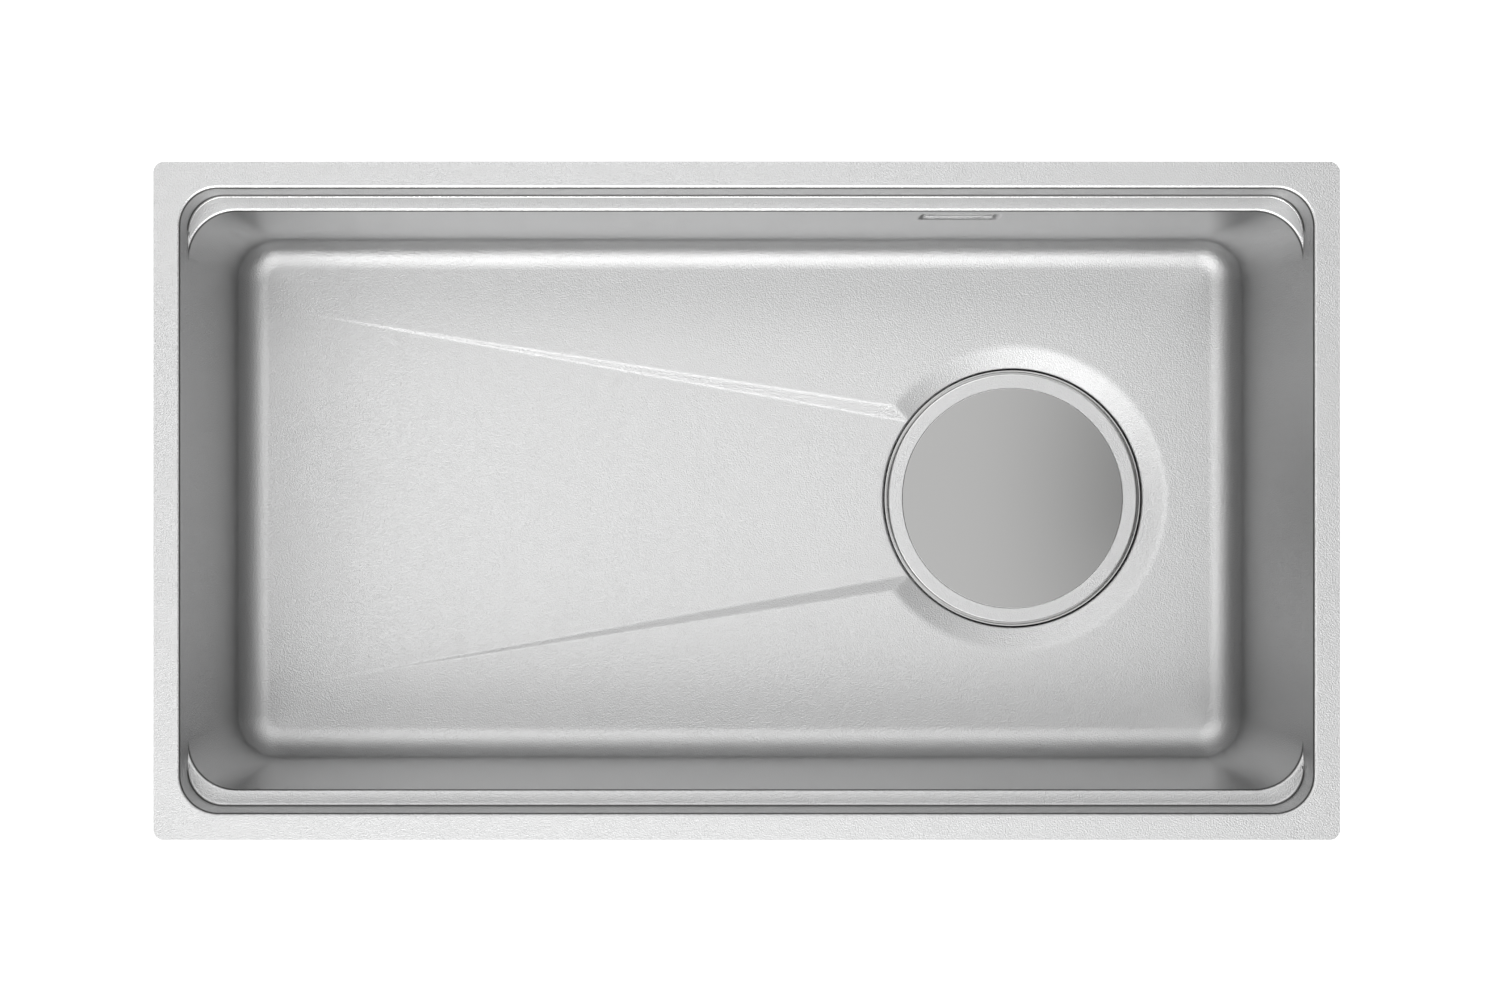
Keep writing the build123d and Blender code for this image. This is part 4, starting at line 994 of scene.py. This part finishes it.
def screws(name, node, spots, across, up, facing):
    """One piece of equal screws: their heads' middles are the spots, and their heads look along facing."""
    low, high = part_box(node)
    length = abs(float(np.dot(np.array(high) - np.array(low), facing)))
    local = screw_points(length)
    world = local[..., :1] * np.array(across) + local[..., 1:2] * np.array(up) + local[..., 2:] * np.array(facing)
    faces = grid_faces(len(local), SCREW_TURNS, True)
    piece = piece_from(name, [(world + np.array(spot), faces) for spot in spots])
    piece.data.materials.append(bright_steel)
    stands_for(piece, "sink", node)
    print(name, "screws:", len(spots), "faces:", len(piece.data.polygons), "length in mm:", length / MM)


bright_steel = metal("bright screw steel", (0.50, 0.50, 0.495), 0.22, 500.0, 0.01 * MM)
turns = np.arange(SCREW_COUNT) * 2 * np.pi / SCREW_COUNT
head_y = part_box("overflow_screws")[0].y
drain_spots = round_drain(SCREW_CIRCLE, turns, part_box("drain_screws")[1].z)
cover_spots = [(OVERFLOW_X + side * COVER_SCREW_PITCH / 2, head_y, OVERFLOW_Z) for side in (-1, 1)]
screws("drain_screws_threaded", "drain_screws", drain_spots, (1, 0, 0), (0, 1, 0), (0, 0, 1))
screws("overflow_screws_threaded", "overflow_screws", cover_spots, (1, 0, 0), (0, 0, 1), (0, -1, 0))

# %% [markdown]
# ## Softened edges
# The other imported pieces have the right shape, but knife sharp edges. A copy of each is merged into one skin, and a
# Bevel modifier breaks its edges by the width that its making leaves: a tenth or two on cut sheet, more on moulded
# plastic and rubber. Weighted normals then keep flats flat and tubes round. The parts drawn from thin sheet are
# smoother than the blasted bowl, so they get a steel of their own.

# %% Softened copies
DRAWN_NODES = ("drain_flange", "basket", "overflow_cover")
LEVEL_ANGLE = np.radians(0.5)
SHARP_ANGLE = 40
FLAT_WEIGHT = 90

drawn = metal("drawn steel", (0.56, 0.56, 0.555), 0.24, 900.0, 0.02 * MM)


def softened(node_name, width):
    """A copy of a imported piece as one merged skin, with all edges sharper than the limit rounded by the width.

    Each point's normal is the mean of its faces' normals, weighted by their areas.
    """
    source = frame["nodes"][node_name]
    mesh = source.data.copy()
    shape = bmesh.new()
    shape.from_mesh(mesh)
    bmesh.ops.remove_doubles(shape, verts=shape.verts, dist=LEAST_EDGE)
    bmesh.ops.dissolve_limit(shape, angle_limit=LEVEL_ANGLE, verts=shape.verts, edges=shape.edges)
    piece = smooth_piece(node_name + "_softened", mesh, shape)
    if node_name in DRAWN_NODES:
        mesh.materials[0] = drawn
    break_edges(piece, width, SHARP_ANGLE)
    piece.modifiers.new("weighted normals", "WEIGHTED_NORMAL").weight = FLAT_WEIGHT
    stands_for(piece, body_of[node_name], node_name)
    return piece


# Width of each piece's broken edges in millimetres
EDGE_WIDTHS = {
    "drain_flange": 0.22, "drain_gasket": 0.3, "body_seal": 0.3, "drain_body": 0.5, "drain_base": 0.5,
    "standpipe": 0.4, "standpipe_seal": 0.3, "outlet_washer": 0.3, "outlet_nut": 0.5, "overflow_cover": 0.35,
    "overflow_gasket": 0.25, "overflow_housing": 0.6, "overflow_pipe": 0.4, "upper_union_nut": 0.5,
    "upper_union_washer": 0.25, "lower_union_nut": 0.5, "lower_union_washer": 0.25, "trap_bell": 0.4, "basket": 0.15,
    "cover_feet": 0.5, "outlet_elbow": 0.4, "floor_pad": 0.6, "left_pad": 0.6, "right_pad": 0.6, "front_pad": 0.6,
    "rear_pad": 0.6,
}
for node_name, width in EDGE_WIDTHS.items():
    piece = softened(node_name, width * MM)
    print(node_name, "faces:", len(piece.data.polygons))

# %% [markdown]
# ## Floor, light and camera
# The floor is a pale matt sheet. It adds some light of its own for rays from the camera and for reflections, so it
# looks white, and it still holds a faint shadow.

# %% Floor
FLOOR_GAP = 2.0 * MM
FLOOR_SIZE = 12.0
FLOOR_TINT = 0.35
FLOOR_ROUGHNESS = 0.9
FLOOR_GLOW = 0.8

corner_x = np.array([-1, 1, 1, -1]) * FLOOR_SIZE / 2
corner_y = np.array([-1, -1, 1, 1]) * FLOOR_SIZE / 2
floor = piece_from("studio_floor", [(in_rows(corner_x, corner_y, cad_low.z - FLOOR_GAP), [[0, 1, 2, 3]])])
floor_paint, floor_tree, floor_inputs = new_material("studio floor")
floor_look = {"Base Color": (FLOOR_TINT, FLOOR_TINT, FLOOR_TINT, 1), "Roughness": FLOOR_ROUGHNESS,
              "Specular IOR Level": 0, "Emission Color": (1, 1, 1, 1)}
for name, value in floor_look.items():
    floor_inputs[name].default_value = value
path = add_node(floor_tree, "ShaderNodeLightPath", {})
direct = math_node(floor_tree, "MAXIMUM", path["Is Camera Ray"], path["Is Glossy Ray"])
direct = math_node(floor_tree, "MAXIMUM", direct, path["Is Transmission Ray"])
glow = math_node(floor_tree, "MULTIPLY", direct, FLOOR_GLOW)
floor_tree.links.new(glow, floor_inputs["Emission Strength"])
floor.data.materials.append(floor_paint)
print("floor's height in mm:", (cad_low.z - FLOOR_GAP) / MM)

# %% [markdown]
# The sky is the studio's ceiling, dim but for its lamps. Seen from the sink, each direction has an X and a Y between
# -1 and 1, with 0, 0 straight above. A lamp is a soft ellipse on that disc: full inside some share of its half sizes,
# and nothing at its edge. One hangs over the sink, six stand round it, brightest in front and on the left, and three
# low ones light the roundings and the creases. The last is a dark flag, which the disc mirrors. The camera sees plain
# white instead.

# %% World
ROOM_LIGHT = 0.39
# Centre X and Y, half size X and Y, the share that is full, strength
LAMPS = [
    (0.00, 0.00, 0.33, 0.46, 0.35, 0.88),
    (0.00, 0.38, 0.37, 0.36, 0.00, 2.20),
    (0.00, -0.36, 0.36, 0.34, 0.00, 2.25),
    (-0.42, 0.42, 0.36, 0.36, 0.00, 1.80),
    (0.42, 0.42, 0.36, 0.36, 0.00, 0.85),
    (-0.42, -0.42, 0.36, 0.36, 0.00, 2.90),
    (0.42, -0.42, 0.36, 0.36, 0.00, 1.30),
    (0.00, -0.74, 0.50, 0.30, 0.00, 3.10),
    (-0.05, -0.80, 0.28, 0.22, 0.00, 2.00),
    (-0.05, 0.80, 0.28, 0.22, 0.00, 2.00),
    (0.22, 0.00, 0.09, 0.10, 0.00, -0.40),
]

world = bpy.data.worlds.new("studio")
bpy.context.scene.world = world
world.use_nodes = True
sky = world.node_tree
sky.nodes.clear()
heading = add_node(sky, "ShaderNodeTexCoord", {})["Generated"]
level = ROOM_LIGHT
for centre_x, centre_y, half_x, half_y, full, strength in LAMPS:
    scaled = {0: heading, 1: (1 / half_x, 1 / half_y, 0), 2: (-centre_x / half_x, -centre_y / half_y, 0)}
    scaled = add_node(sky, "ShaderNodeVectorMath", scaled, operation="MULTIPLY_ADD")["Vector"]
    away = add_node(sky, "ShaderNodeVectorMath", {0: scaled}, operation="LENGTH")["Value"]
    fade = {"Value": away, "From Min": full, "From Max": 1.0, "To Min": strength, "To Max": 0.0}
    fade = add_node(sky, "ShaderNodeMapRange", fade, interpolation_type="SMOOTHSTEP")["Result"]
    level = math_node(sky, "ADD", fade, level)
camera_ray = add_node(sky, "ShaderNodeLightPath", {})["Is Camera Ray"]
seen = add_node(sky, "ShaderNodeMix", {"Factor": camera_ray, "A": level, "B": 1.0})["Result"]
studio_light = add_node(sky, "ShaderNodeBackground", {"Color": (1, 1, 1, 1), "Strength": seen})["Background"]
add_node(sky, "ShaderNodeOutputWorld", {"Surface": studio_light})
bpy.context.scene.view_settings.view_transform = "Standard"
print("lamps in the world:", len(LAMPS))

# %% [markdown]
# The camera looks straight down on the bowl from a little left of the middle and a little to the rear, and a small
# lens shift puts the sink back in the middle of the frame.

# %% Camera
CAMERA_PLACE = (-46.7 * MM, 15.8 * MM, 1550 * MM)
FRAME_WIDTH = 1061.7 * MM
SENSOR_WIDTH = 36
AIM = (2.3 * MM, 0.6 * MM)

camera_data = bpy.data.cameras.new("camera")
camera_data.sensor_width = SENSOR_WIDTH
camera_data.lens = SENSOR_WIDTH * CAMERA_PLACE[2] / FRAME_WIDTH
camera_data.shift_x = (AIM[0] - CAMERA_PLACE[0]) / FRAME_WIDTH
camera_data.shift_y = (AIM[1] - CAMERA_PLACE[1]) / FRAME_WIDTH
camera = bpy.data.objects.new("camera", camera_data)
camera.location = CAMERA_PLACE
bpy.context.scene.collection.objects.link(camera)
bpy.context.scene.camera = camera
print("lens in mm:", camera_data.lens)

# %% [markdown]
# ## Size and finish

# %% Finish
import json
